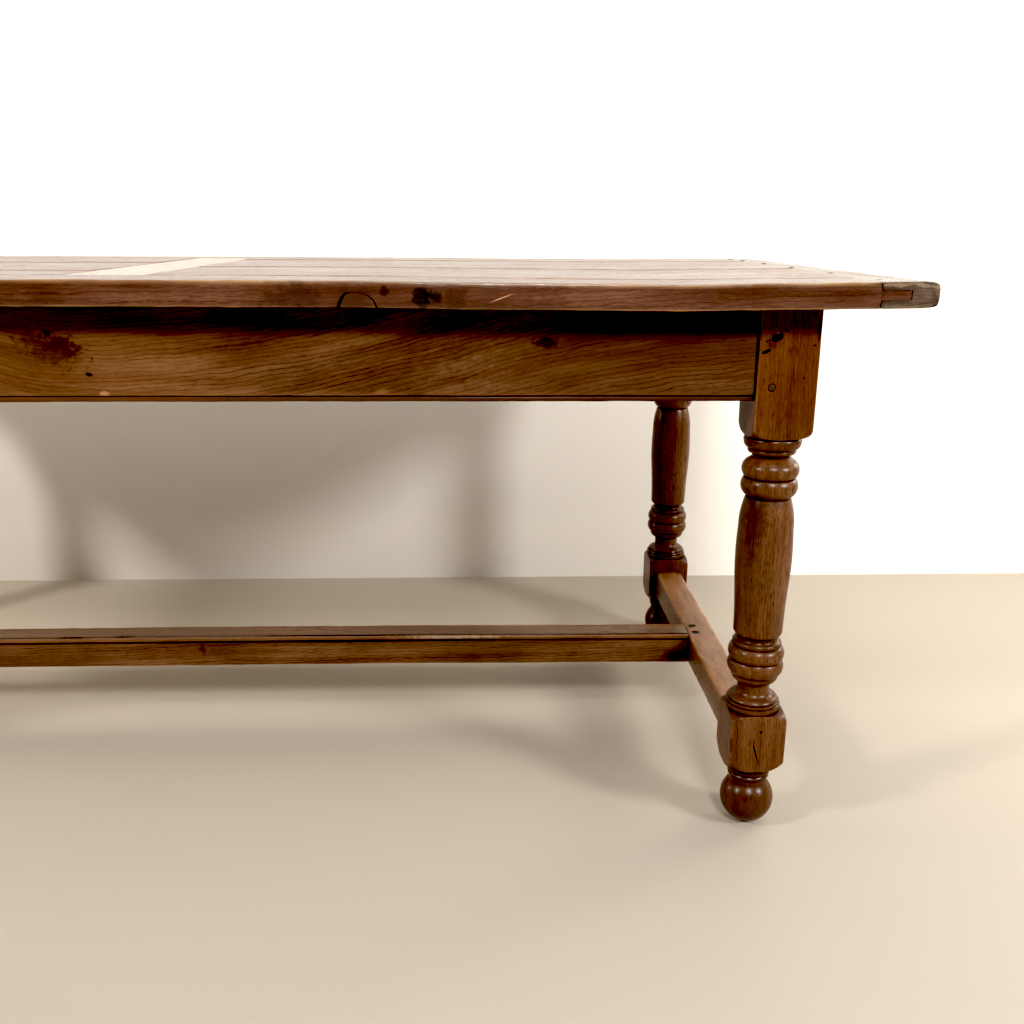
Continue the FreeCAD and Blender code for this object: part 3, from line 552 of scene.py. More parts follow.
leg_oak = oak_finish(
    "waxed_leg_oak",
    dark=(0.018, 0.005, 0.003, 1), mid=(0.102, 0.0430, 0.0210, 1),
    light=(0.163, 0.077, 0.0385, 1), worn=(0.28, 0.145, 0.060, 1),
    ring=0.0030, wander=0.02, line=0.65, fleck=0.55,
    rough=(0.35, 0.5), shine=0.06, coat=0.4, polish=0.28,
)
PEG_HALF = 0.0047
PEG_INSET = 0.019
PEG_HEIGHTS = (0.631, 0.692)
STRETCHER_PEG_HEIGHT = 0.130
SOCKET_DEPTH = 0.003
SOCKET_GAP = 0.0005
CHIPS_PER_LEG = 16
CHIPPED_HEIGHTS = ((0.116, 0.160), (0.592, 0.725))
TURNING_SHIFT = 0.0014
FOOT_SHIFT = 0.0006
for leg_number, (leg_name, (leg_x, leg_y)) in enumerate(LEG_PLACES.items()):
    leg = copied(turned_leg, leg_name + "_turned", (leg_x, leg_y, 0), 90 * leg_number)
    out_x = math.copysign(1, leg_x)
    out_y = math.copysign(1, leg_y)
    # The lathe's centres were a little off the middle of the billet
    for vertex in leg.data.vertices:
        if LOWER_BLOCK[1] + 0.00005 < vertex.co.z < UPPER_BLOCK[0] - 0.0005:
            vertex.co.x -= out_x * TURNING_SHIFT
        elif vertex.co.z < LOWER_BLOCK[0] - 0.0005:
            vertex.co.x += out_x * FOOT_SHIFT
    weathered(leg, 0.0006, 0.05)
    weathered(leg, 0.0002, 0.008)
    cut_from(leg_oak, leg, "Z", (leg_x - out_x * 0.085, leg_y + 0.06, 0.2), (0, 1.2, -1), 0.1)
    cutters = []
    # Sockets for the pegs: two in the face over each apron's tenon and one over the side stretcher's
    peg_x = leg_x - out_x * (HALF_LEG - PEG_INSET)
    peg_y = leg_y - out_y * (HALF_LEG - PEG_INSET)
    face_x = leg_x + out_x * HALF_LEG
    face_y = leg_y + out_y * HALF_LEG
    hole = PEG_HALF + SOCKET_GAP
    for height in PEG_HEIGHTS:
        cutters.append(socket((peg_x, face_y, height), hole, SOCKET_DEPTH, (math.pi / 2, 0, 0)))
        cutters.append(socket((face_x, peg_y, height), hole, SOCKET_DEPTH, (0, math.pi / 2, 0)))
    cutters.append(socket((face_x, peg_y, STRETCHER_PEG_HEIGHT), hole, SOCKET_DEPTH, (0, math.pi / 2, 0)))
    # The blocks have gone redder than the turning
    marks = [
        ((leg_x, leg_y, 0.665), (0.12, 0.12, 0.13), 0, 0.5, (0.080, 0.016, 0.004, 1), 0.36),
        ((leg_x, leg_y, 0.138), (0.12, 0.12, 0.055), 0, 0.5, (0.070, 0.020, 0.006, 1), 0.25),
    ]
    # Chips knocked off the arrises of the two blocks
    chips = []
    luck = random.Random(leg_number + 11)
    for _ in range(CHIPS_PER_LEG):
        side_x, side_y = luck.choice((-1, 1)), luck.choice((-1, 1))
        low, high = luck.choice(CHIPPED_HEIGHTS)
        size = luck.uniform(0.0012, 0.003)
        corner = HALF_LEG + size * luck.uniform(0.02, 0.25)
        centre = (leg_x + side_x * corner, leg_y + side_y * corner, luck.uniform(low, high))
        chips.append(bite(centre, (size, size, size * luck.uniform(1.5, 4))))
    if leg_name == "leg_front_right":
        # Broken wood round the upper peg, a nail hole, a gouge, and the split and square hole below
        cutters += [
            bite((0.8226, face_y - 0.0004, 0.6918), (0.0050, 0.0045, 0.0040)),
            bite((0.8256, face_y - 0.0004, 0.6935), (0.0036, 0.0040, 0.0034)),
            bite((0.8132, face_y, 0.6890), (0.0018, 0.002, 0.0009)),
            bite((0.8092, face_y, 0.6872), (0.0016, 0.002, 0.0008)),
            bite((0.8331, face_y, 0.7009), (0.0025, 0.003, 0.0021)),
            bite((0.8096, face_y, 0.6752), (0.0062, 0.003, 0.0022), (0, -0.39, 0)),
            bite((0.8419, face_y, 0.1573), (0.0022, 0.003, 0.0021)),
        ]
        run = (
            (0.8313, 0.1500), (0.8322, 0.1450), (0.8330, 0.1400), (0.8337, 0.1365), (0.8348, 0.1310),
            (0.8362, 0.1260), (0.8378, 0.1210), (0.8392, 0.1165), (0.8406, 0.1120), (0.8415, 0.1080),
        )
        spread = (0.0001, 0.0002, 0.0004, 0.0008, 0.0010, 0.0010, 0.0009, 0.0007, 0.0005, 0.0002)
        cutters.append(split([(x, face_y, z) for x, z in run], spread, (1, 4, 1)))
        # Stains round the holes, on the outer arris and down the vase
        marks += [
            ((0.8165, face_y, 0.6850), (0.0085, 0.02, 0.0080), 0, 1.5, (0.016, 0.005, 0.003, 1), 0.45),
            ((0.8263, face_y, 0.6990), (0.0014, 0.02, 0.0045), 0, 1, (0.006, 0.002, 0.002, 1), 0.85),
            ((0.8689, face_y, 0.6829), (0.0030, 0.02, 0.0014), 0, 1, (0.008, 0.003, 0.002, 1), 0.8),
            ((0.8735, face_y, 0.7000), (0.0030, 0.02, 0.0140), 0, 1, (0.008, 0.003, 0.002, 1), 0.6),
            ((0.8587, face_y, 0.6430), (0.0016, 0.02, 0.0014), 0, 1, (0.012, 0.003, 0.002, 1), 0.8),
            ((0.8150, -0.3500, 0.4520), (0.0150, 0.03, 0.0560), 0, 1.8, (0.024, 0.010, 0.006, 1), 0.55),
        ]
    painted_stains_and_shade(leg, marks)
    carved(leg, cutters, chips)
    smooth(leg, 32)
    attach(leg, "root")
    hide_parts(leg_name)
bpy.data.objects.remove(turned_leg)


# Pegs of the leg joints
# Riven oak pegs driven through the tenons and cut off a little proud, so their ends are not quite round.
# Each leg holds two for its long apron, two for its end apron and one for its side stretcher.
peg_oak = oak_finish(
    "peg_end_oak",
    dark=(0.010, 0.005, 0.003, 1), mid=(0.045, 0.026, 0.016, 1),
    light=(0.090, 0.056, 0.036, 1), worn=(0.15, 0.10, 0.065, 1),
    ring=0.0022, wander=0.006, line=0.6, fleck=0.6,
    rough=(0.4, 0.6), shine=0.2, coat=0.05,
)
PEG_STAND = 0.0006
PEG_END = 0.0041
PEG_LENGTH = 0.03
BROKEN_PEG_SUNK = 0.0075
SEEDS_PER_LEG = 9


def riven_peg(centre, radius, length, turn, seed):
    """A peg through the centre of its outer end, standing a little proud, its end domed by the chisel."""
    bpy.ops.object.select_all(action="DESELECT")
    bpy.ops.mesh.primitive_cylinder_add(vertices=14, radius=radius, depth=length)
    peg = bpy.context.object
    bpy.ops.object.mode_set(mode="EDIT")
    bpy.ops.mesh.select_mode(type="FACE")
    bpy.ops.mesh.select_all(action="DESELECT")
    sides = bmesh.from_edit_mesh(peg.data)
    for face in sides.faces:
        face.select_set(face.normal.z > 0.9)
    bpy.ops.mesh.inset(thickness=radius * 0.16, depth=radius * 0.06)
    bpy.ops.mesh.inset(thickness=radius * 0.4, depth=radius * 0.03)
    bpy.ops.mesh.select_all(action="SELECT")
    bpy.ops.transform.vertex_random(offset=radius * 0.09, seed=seed)
    closed_up()
    proud = Matrix.Translation((0, 0, PEG_STAND - length / 2))
    peg.data.transform(Matrix.Translation(centre) @ turn.to_matrix().to_4x4() @ proud)
    return peg


def joined(name, pieces):
    """The pieces joined into one with this name."""
    bpy.ops.object.select_all(action="DESELECT")
    for piece in pieces:
        piece.select_set(True)
    bpy.context.view_layer.objects.active = pieces[0]
    if len(pieces) > 1:
        bpy.ops.object.join()
    pieces[0].name = name
    return pieces[0]


for leg_number, (leg_name, (leg_x, leg_y)) in enumerate(LEG_PLACES.items()):
    out_x = math.copysign(1, leg_x)
    out_y = math.copysign(1, leg_y)
    peg_x = leg_x - out_x * (HALF_LEG - PEG_INSET)
    peg_y = leg_y - out_y * (HALF_LEG - PEG_INSET)
    to_face_y = Euler((-out_y * math.pi / 2, 0, 0))
    to_face_x = Euler((0, out_x * math.pi / 2, 0))
    face_x = leg_x + out_x * HALF_LEG
    seed = leg_number * SEEDS_PER_LEG
    pegs = []
    for number, height in enumerate(PEG_HEIGHTS):
        # One long apron peg of the front right leg is broken off deep in its hole
        sunk = BROKEN_PEG_SUNK if leg_name == "leg_front_right" and number == 1 else 0.0
        face_y = leg_y + out_y * (HALF_LEG - sunk)
        pegs.append(riven_peg((peg_x, face_y, height), PEG_END, PEG_LENGTH, to_face_y, seed + number))
        pegs.append(riven_peg((face_x, peg_y, height), PEG_END, PEG_LENGTH, to_face_x, seed + number + 3))
    low_place = (face_x, peg_y, STRETCHER_PEG_HEIGHT)
    pegs.append(riven_peg(low_place, PEG_END, PEG_LENGTH, to_face_x, seed + 6))
    leg_pegs = joined(leg_name.replace("leg", "leg_pegs"), pegs)
    cut_from(peg_oak, leg_pegs, "Y", (leg_x, leg_y, 0.63))
    smooth(leg_pegs, 40)
    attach(leg_pegs, "root")
    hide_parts(leg_name.replace("leg", "joint_pegs"))


# Aprons
# Oak boards tenoned into the legs and set a little back from their faces, under the top on all four sides.
# A bead with a sunk quirk is run along the lower outer edge with a scratch stock.
APRON_LOW = 0.613
# Section with the outer face at 0: (out of the face, up, how far the corner is rounded), in millimetres
APRON_SECTION = (
    (25, 0, 1.5),
    (25, 116, 0.8),
    (0, 116, 0.8),
    (0, 7.9, 0.5),
    (2.4, 7.4, 0.3),
    (2.4, 6.4, 0.3),
    (0.2, 5.9, 2.0),
    (0.2, 0, 2.8),
)


def rounded(section, reach):
    """The section as places no further apart than reach, with its corners rounded, in metres."""
    places = []
    corners = [Vector(corner[:2]) for corner in section]
    for number, (*_, radius) in enumerate(section):
        corner = corners[number]
        before = corners[number - 1] - corner
        after = corners[(number + 1) % len(corners)] - corner
        if radius:
            cut = radius / math.tan(before.angle(after) / 2)
            first = corner + before.normalized() * min(cut, before.length * 0.49)
            last = corner + after.normalized() * min(cut, after.length * 0.49)
            if radius > 0.6 and before.length > 8:
                places.append(first + before.normalized() * 1.2)
            for step in range(5):
                share = step / 4
                places.append(first.lerp(corner, share).lerp(corner.lerp(last, share), share))
            if radius > 0.6 and after.length > 8:
                places.append(last + after.normalized() * 1.2)
        else:
            places.append(corner)
    filled = []
    for start, end in zip(places, places[1:] + places[:1]):
        count = max(1, math.ceil((end - start).length / reach))
        filled += [start.lerp(end, step / count) for step in range(count)]
    return [place / 1000 for place in filled]


def run_length(name, section, start, end, step, ease, reach=7):
    """A length of wood run along X from start to end with this section across Y and Z, its ends eased."""
    around = rounded(section, reach)
    piece = drawn(name, [(start + ease, across, up) for across, up in around])
    bpy.ops.mesh.select_all(action="SELECT")
    bpy.ops.mesh.edge_face_add()
    bpy.ops.mesh.extrude_region_move(TRANSFORM_OT_translate={"value": (end - start - 2 * ease, 0, 0)})
    bpy.ops.mesh.select_all(action="SELECT")
    bpy.ops.mesh.normals_make_consistent(inside=False)
    bpy.ops.mesh.select_mode(type="EDGE")
    bpy.ops.mesh.select_all(action="DESELECT")
    shape = bmesh.from_edit_mesh(piece.data)
    for edge in shape.edges:
        edge.select_set(abs(edge.verts[0].co.x - edge.verts[1].co.x) > step)
    bpy.ops.mesh.subdivide(number_cuts=math.ceil((end - start) / step))
    bpy.ops.mesh.select_mode(type="FACE")
    bpy.ops.mesh.select_all(action="DESELECT")
    shape = bmesh.from_edit_mesh(piece.data)
    for face in shape.faces:
        face.select_set(abs(face.normal.x) > 0.9)
    bpy.ops.mesh.inset(thickness=ease * 0.35, depth=ease * 0.65)
    bpy.ops.mesh.inset(thickness=ease * 0.65, depth=ease * 0.35)
    closed_up()
    return piece


def arris_group(piece, section, share=1.0):
    """Groups the vertices near the rounded corners of the section and marks how worn they are, up to the
    share, out to half as far again as the rounding. The sharpest corners lie in the quirks, which are
    marked as full of wax."""
    wear, wax = {}, {}
    for across, up, radius in section:
        corner = Vector((across, up)) / 1000
        within = radius * 0.0015
        for vertex in piece.data.vertices:
            away = (vertex.co.yz - corner).length
            if radius > 0.6 and away < within:
                worn = share * min(1.0, 1.6 - 1.6 * away / within)
                wear[vertex.index] = max(wear.get(vertex.index, 0.0), worn)
            elif 0 < radius < 0.45 and away < 0.001:
                wax[vertex.index] = 1.0
    piece.vertex_groups.new(name="arris").add(list(wear), 1.0, "REPLACE")
    marked(piece, "wear", wear)
    marked(piece, "wax", wax)


def put(piece, place, turn=0.0):
    """Turns a piece about Z in degrees and moves it to its place, in its mesh."""
    piece.data.transform(Matrix.Translation(place) @ Matrix.Rotation(math.radians(turn), 4, "Z"))


apron_oak = oak_finish(
    "waxed_apron_oak",
    dark=(0.010, 0.004, 0.002, 1), mid=(0.105, 0.049, 0.0280, 1),
    light=(0.166, 0.085, 0.046, 1), worn=(0.28, 0.135, 0.060, 1),
    ring=0.0046, wander=0.034, line=0.95, fleck=0.35,
    rough=(0.3, 0.45), shine=0.08, coat=0.25,
)
LONG_APRON = 0.7998
END_APRON = 0.2918
BEAD_HIGH = 0.0078
BEAD_WAX = 0.9
# Middle of each outer face, and the turn of the board about Z in degrees
APRON_FACES = {
    "front": (0, -0.365, 0),
    "right": (0.874, 0, 90),
    "back": (0, 0.365, 180),
    "left": (-0.874, 0, 270),
}
# A place on the heart of the tree that each board was cut from, and its lean in degrees
APRON_HEARTS = {
    "front": ((0.15, -0.285, 0.495), (0, 1, 3.5)),
    "right": ((0.78, 0, 0.60), (0, 2, 1)),
    "back": ((-0.2, 0.29, 0.70), (0, -2, 2)),
    "left": ((-0.79, 0, 0.70), (0, -1, 2)),
}
# The front board is paler to the left and darker to the right, with a ragged ink stain, spots, a knot, a
# pale chip, and a dark line painted at its right end as the shade in the gap to the leg
APRON_MARKS = (
    ((0.680, -0.365, 0.660), (0.300, 0.03, 0.15), 0, 1, (0.040, 0.017, 0.009, 1), 0.5),
    ((-0.090, -0.365, 0.640), (0.280, 0.03, 0.15), 0, 1, (0.180, 0.080, 0.034, 1), 0.25),
    ((-0.052, -0.365, 0.678), (0.040, 0.02, 0.020), -12, 3.2, (0.030, 0.014, 0.008, 1), 0.55),
    ((-0.040, -0.365, 0.684), (0.026, 0.02, 0.012), -25, 3.0, (0.020, 0.009, 0.006, 1), 0.5),
    ((-0.0105, -0.365, 0.647), (0.0046, 0.02, 0.0026), -15, 1, (0.006, 0.003, 0.002, 1), 0.95),
    ((0.0048, -0.365, 0.624), (0.0060, 0.02, 0.0032), 0, 2, (0.38, 0.19, 0.09, 1), 0.8),
    ((0.5387, -0.365, 0.686), (0.016, 0.02, 0.007), 0, 2.5, (0.014, 0.005, 0.003, 1), 0.8),
    # Painted shade: the dark line down the board's right end, where the gap to the leg is
    ((0.7998, -0.365, 0.670), (0.0022, 0.02, 0.12), 0, 0.5, (0.008, 0.003, 0.002, 1), 0.85),
)


def grain_rise(along_board):
    """How far the grain of the front board has climbed: over a hump at the left, and to the right end."""
    hump = math.exp(-((along_board + 0.20) / 0.09) ** 2)
    climb = min(1.0, max(0.0, (along_board - 0.10) / 0.62))
    return 0.050 * hump + 0.092 * climb * climb * (3 - 2 * climb)


for side, (apron_x, apron_y, turn) in APRON_FACES.items():
    half = LONG_APRON if side in ("front", "back") else END_APRON
    apron = run_length("apron_" + side + "_board", APRON_SECTION, -half, half, 0.008, 0.0003)
    arris_group(apron, APRON_SECTION)
    wax = apron.data.attributes["wax"]
    for vertex in apron.data.vertices:
        if vertex.co.z < BEAD_HIGH and vertex.co.y < 0.01:
            wax.data[vertex.index].value = max(wax.data[vertex.index].value, BEAD_WAX)
    put(apron, (apron_x, apron_y, APRON_LOW), turn)
    weathered(apron, 0.0012, 0.12)
    weathered(apron, 0.0003, 0.015)
    weathered(apron, 0.0006, 0.009, "arris", True, 2.0)
    heart, lean = APRON_HEARTS[side]
    cut_from(apron_oak, apron, "X" if side in ("front", "back") else "Y", heart, lean)
    if side == "front":
        marked(apron, "rise", {vertex.index: grain_rise(vertex.co.x) for vertex in apron.data.vertices})
        painted_stains_and_shade(apron, APRON_MARKS)
    smooth(apron, 40)
    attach(apron, "root")
    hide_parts("apron_" + side)


# Side stretchers
# Stout oak rails tenoned between the lower blocks of the legs at each end and pegged from outside.
# Feet have rubbed their upper arrises round. Their tops are paler.
SIDE_STRETCHER_SECTION = (
    (-24.5, 0, 2.5),
    (24.5, 0, 2.5),
    (24.5, 50, 5.0),
    (-24.5, 50, 6.0),
)
STRETCHER_LOW = 0.105
STRETCHER_HIGH = 0.155
SIDE_STRETCHER_END = 0.2918
PALE_TOP_SHARE = 0.6
PALE_TOP_ABOVE = 0.0485
CENTRE_PEG_Y = (-0.014, 0.014)
CENTRE_PEG_INSET = 0.0115
CENTRE_PEG_HOLE = 0.0061
CENTRE_PEG_END = 0.0055
CENTRE_PEG_SUNK = 0.001
CENTRE_PEG_SEED = 40
rubbed_oak = oak_finish(
    "foot_worn_oak",
    dark=(0.024, 0.009, 0.005, 1), mid=(0.105, 0.045, 0.022, 1),
    light=(0.165, 0.077, 0.037, 1), worn=(0.42, 0.21, 0.10, 1),
    ring=0.0045, wander=0.030, line=0.5, fleck=0.45,
    rough=(0.4, 0.55), shine=0.4, coat=0.3,
)


def upright_pegs(places, sunk, radius, length, first_seed):
    """Pegs driven straight down, their ends sunk this far below the places."""
    pegs = []
    for seed, place in enumerate(places, start=first_seed):
        end = Vector(place) - Vector((0, 0, sunk))
        pegs.append(riven_peg(end, radius, length, Euler((0, 0, 0)), seed))
    return pegs


for side, stretcher_x in (("right", 0.839), ("left", -0.839)):
    stretcher = run_length(
        "stretcher_" + side + "_rail", SIDE_STRETCHER_SECTION, -SIDE_STRETCHER_END, SIDE_STRETCHER_END,
        0.008, 0.0003,
    )
    arris_group(stretcher, SIDE_STRETCHER_SECTION)
    wear = stretcher.data.attributes["wear"]
    for vertex in stretcher.data.vertices:
        if vertex.co.z > PALE_TOP_ABOVE:
            wear.data[vertex.index].value = max(wear.data[vertex.index].value, PALE_TOP_SHARE)
    put(stretcher, (stretcher_x, 0, STRETCHER_LOW), 90)
    weathered(stretcher, 0.0016, 0.09)
    weathered(stretcher, 0.0004, 0.014)
    weathered(stretcher, 0.0013, 0.018, "arris", True, 1.8)
    cut_from(rubbed_oak, stretcher, "Y", (stretcher_x - 0.05, 0, 0.07), (0, 1.5, 1))
    inner_x = stretcher_x - math.copysign(CENTRE_PEG_INSET, stretcher_x)
    peg_places = [(inner_x, peg_y, STRETCHER_HIGH) for peg_y in CENTRE_PEG_Y]
    carved(stretcher, [socket(place, CENTRE_PEG_HOLE, SOCKET_DEPTH, (0, 0, 0)) for place in peg_places])
    smooth(stretcher, 40)
    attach(stretcher, "root")
    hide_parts("stretcher_" + side)
    pegs = upright_pegs(peg_places, CENTRE_PEG_SUNK, CENTRE_PEG_END, PEG_LENGTH, CENTRE_PEG_SEED)
    stretcher_pegs = joined("stretcher_" + side + "_pegs", pegs)
    cut_from(peg_oak, stretcher_pegs, "Z", (stretcher_x, 0, 0.15))
    grime = ((stretcher_x, 0, 0.15), (0.1, 0.1, 0.1), 0, 1, (0.012, 0.010, 0.010, 1), 0.75)
    painted_stains_and_shade(stretcher_pegs, [grime])
    smooth(stretcher_pegs, 40)
    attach(stretcher_pegs, "root")
    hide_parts("stretcher_pegs_" + side)


# Centre stretcher
# One long oak rail tenoned between the two side stretchers, so the frame cannot spread.
# A bead is returned on each upper edge, with a quirk sunk in the top and another in the side.
CENTRE_STRETCHER_SECTION = (
    (-25.5, 0, 2.0),
    (25.5, 0, 2.0),
    (25.5, 40.2, 0),
    (25.5, 41.2, 0.3),
    (23.2, 41.8, 0.4),
    (23.2, 43.2, 0.4),
    (25.4, 43.8, 1.5),
    (25.4, 49.9, 2.8),
    (20.3, 49.9, 1.5),
    (19.6, 47.5, 0.4),
    (17.6, 47.5, 0.4),
    (17.0, 50, 0.3),
    (16.0, 50, 0),
    (-16.0, 50, 0),
    (-17.0, 50, 0.3),
    (-17.6, 47.5, 0.4),
    (-19.6, 47.5, 0.4),
    (-20.3, 49.9, 1.5),
    (-25.4, 49.9, 2.8),
    (-25.4, 43.8, 1.5),
    (-23.2, 43.2, 0.4),
    (-23.2, 41.8, 0.4),
    (-25.5, 41.2, 0.3),
    (-25.5, 40.2, 0),
)
CENTRE_STRETCHER_END = 0.8143
CENTRE_STRETCHER_BOW = 0.0030
# The grooves are darkened in places, and so is the joint at the right end; the top is greyer and paler
STRETCHER_MARKS = (
    ((0, 0, 0.158), (3, 0.035, 0.0045), 0, 1, (0.150, 0.100, 0.070, 1), 0.55),
    ((-0.220, -0.019, 0.155), (0.030, 0.005, 0.005), 0, 1, (0.008, 0.004, 0.003, 1), 0.85),
    ((-0.133, -0.015, 0.155), (0.022, 0.006, 0.005), 0, 1, (0.008, 0.004, 0.003, 1), 0.8),
    ((0.245, -0.0185, 0.157), (0.190, 0.0026, 0.005), 0, 1, (0.008, 0.004, 0.003, 1), 0.85),
    ((0.245, -0.0245, 0.150), (0.190, 0.006, 0.0026), 0, 1, (0.008, 0.004, 0.003, 1), 0.85),
    ((0.415, -0.0235, 0.1555), (0.085, 0.004, 0.0034), 0, 1.5, (0.42, 0.30, 0.21, 1), 0.6),
    ((-0.003, -0.025, 0.137), (0.006, 0.006, 0.010), 0, 2, (0.012, 0.005, 0.003, 1), 0.5),
    ((0.792, -0.025, 0.117), (0.020, 0.010, 0.012), 0, 2, (0.012, 0.005, 0.003, 1), 0.6),
)
centre_stretcher = run_length(
    "stretcher_centre_rail", CENTRE_STRETCHER_SECTION, -CENTRE_STRETCHER_END, CENTRE_STRETCHER_END,
    0.008, 0.0003,
)
arris_group(centre_stretcher, CENTRE_STRETCHER_SECTION, 0.5)
put(centre_stretcher, (0, 0, STRETCHER_LOW))
for vertex in centre_stretcher.data.vertices:
    vertex.co.z += CENTRE_STRETCHER_BOW * (1 - (vertex.co.x / CENTRE_STRETCHER_END) ** 2)
weathered(centre_stretcher, 0.0016, 0.13)
weathered(centre_stretcher, 0.0003, 0.014)
weathered(centre_stretcher, 0.0007, 0.011, "arris", True, 2.0)
cut_from(apron_oak, centre_stretcher, "X", (0, 0.05, -0.04), (0, 0.6, 1.5))
painted_stains_and_shade(centre_stretcher, STRETCHER_MARKS)
smooth(centre_stretcher, 40)
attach(centre_stretcher, "root")
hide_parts("stretcher_centre")


# Bearer, buttons and screws
# Under the top, out of sight: an oak bearer tenoned between the long aprons below the cross board, and
# oak buttons lipped into the aprons and screwed up into the top, so that the boards can move.
hidden_oak = oak_finish(
    "unwaxed_oak",
    dark=(0.06, 0.032, 0.015, 1), mid=(0.20, 0.115, 0.060, 1),
    light=(0.30, 0.185, 0.10, 1), worn=(0.38, 0.25, 0.15, 1),
    ring=0.0032, wander=0.02, line=0.5, fleck=0.5,
    rough=(0.6, 0.8), shine=0.3, coat=0.0,
)
BEARER_SECTION = ((-30, 0, 2), (30, 0, 2), (30, 40, 1), (-30, 40, 1))
BEARER_END = 0.3398
BEARER_LOW = 0.689
bearer = run_length("top_bearer_rail", BEARER_SECTION, -BEARER_END, BEARER_END, 0.01, 0.0003)
put(bearer, (0, 0, BEARER_LOW), 90)
weathered(bearer, 0.0008, 0.05)
cut_from(hidden_oak, bearer, "Y", (0.06, 0, 0.66), (0, 1, 1))
smooth(bearer, 40)
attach(bearer, "root")
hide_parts("top_bearer")
cut_from(hidden_oak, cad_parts["top_buttons"], "X", (0, 0.05, 0.70), (0, 0, 4))

screw_iron = bpy.data.materials.new("blackened_iron")
screw_iron.use_nodes = True
iron = screw_iron.node_tree.nodes["Principled BSDF"]
iron_place = add_node(screw_iron, "TexCoord").outputs["Object"]
iron_rust = stretched_noise(screw_iron, iron_place, (900, 900, 900), 4)
iron_spots = eased(screw_iron, iron_rust, 0.45, 0.65)
iron_colour = mixed(screw_iron, iron_spots, (0.05, 0.047, 0.045, 1), (0.11, 0.045, 0.02, 1))
iron_rough = eased(screw_iron, iron_rust, 0.3, 0.7, 0.4, 0.8)
screw_iron.node_tree.links.new(iron_colour.outputs[0], iron.inputs["Base Color"])
screw_iron.node_tree.links.new(iron_rough.outputs[0], iron.inputs["Roughness"])
iron.inputs["Metallic"].default_value = 0.8
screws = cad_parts["button_screws"]
screws.data.materials.clear()
screws.data.materials.append(screw_iron)


# Top borders
# Two long oak boards that edge the top front and back. Their ends are tongued into the cleats, and the
# long tongue shows in the end of the cleat. The front edge is rubbed, split and stained.
TOP_LOW = 0.729
TOP_HIGH = 0.760
TOP_JOINT_END = 0.9278
TOP_FRONT = -0.412
BORDER_SECTION = (
    (0, 0, 1.6),
    (94.8, 0, 0.7),
    (94.8, 31, 0.7),
    (0, 31, 3.2),
    (0, 25.2, 0),
    (0, 3.4, 0),
)
top_oak = oak_finish(
    "rubbed_top_oak",
    dark=(0.02, 0.007, 0.003, 1), mid=(0.087, 0.037, 0.025, 1),
    light=(0.137, 0.064, 0.044, 1), worn=(0.27, 0.150, 0.070, 1),
    ring=0.0036, wander=0.028, line=0.7, fleck=0.5,
    rough=(0.18, 0.30), shine=0.4, coat=0.16,
)
# How far the top has settled or lifted along its length, (along, up) in metres
SETTLE = (
    (-1.0, 0.0018), (-0.83, 0.0), (-0.69, -0.0020), (-0.48, -0.0010), (-0.3, 0.0010), (0.0, 0.0015),
    (0.3, 0.0010), (0.494, -0.0012), (0.69, -0.0024), (0.83, -0.0002), (0.925, 0.0012), (1.0, 0.0022),
)


def settled(piece):
    """Bends a board of the top up and down as the whole top has settled, most along the front."""
    for vertex in piece.data.vertices:
        for (start, low), (end, high) in zip(SETTLE, SETTLE[1:]):
            if start <= vertex.co.x <= end:
                share = (vertex.co.x - start) / (end - start)
                share = share * share * (3 - 2 * share)
                rise = low + (high - low) * share
                vertex.co.z += rise * (0.7 - 0.7 * vertex.co.y)


# A grey patch round the split, dark spots, a blue-black iron stain and a pale scratch on the front edge
EDGE_MARKS = (
    ((0.380, -0.412, 0.744), (0.190, 0.03, 0.05), 0, 1, (0.048, 0.020, 0.013, 1), 0.5),
    ((0.247, -0.412, 0.742), (0.036, 0.02, 0.016), 0, 2, (0.028, 0.016, 0.014, 1), 0.5),
    ((0.314, -0.412, 0.740), (0.024, 0.02, 0.014), 0, 1.5, (0.032, 0.018, 0.015, 1), 0.5),
    ((0.3506, -0.412, 0.7480), (0.0055, 0.02, 0.007), 0, 2, (0.010, 0.006, 0.005, 1), 0.75),
    ((0.391, -0.412, 0.742), (0.011, 0.02, 0.014), 0, 2.5, (0.009, 0.011, 0.015, 1), 0.85),
    ((0.406, -0.412, 0.744), (0.009, 0.02, 0.011), 0, 2.5, (0.009, 0.011, 0.015, 1), 0.85),
    ((0.4315, -0.412, 0.741), (0.020, 0.02, 0.013), 0, 3, (0.028, 0.013, 0.008, 1), 0.5),
    ((0.4850, -0.412, 0.7418), (0.0150, 0.02, 0.0008), 20, 0.4, (0.45, 0.26, 0.14, 1), 0.85),
)
TONGUE_SECTION = ((0.8, 10, 0.4), (94, 10, 0.4), (94, 21, 0.4), (0.8, 21, 0.4))
TONGUE_LENGTH = 0.0376
TONGUE_STARTS = (-TOP_JOINT_END - 0.0359, TOP_JOINT_END - 0.0015)
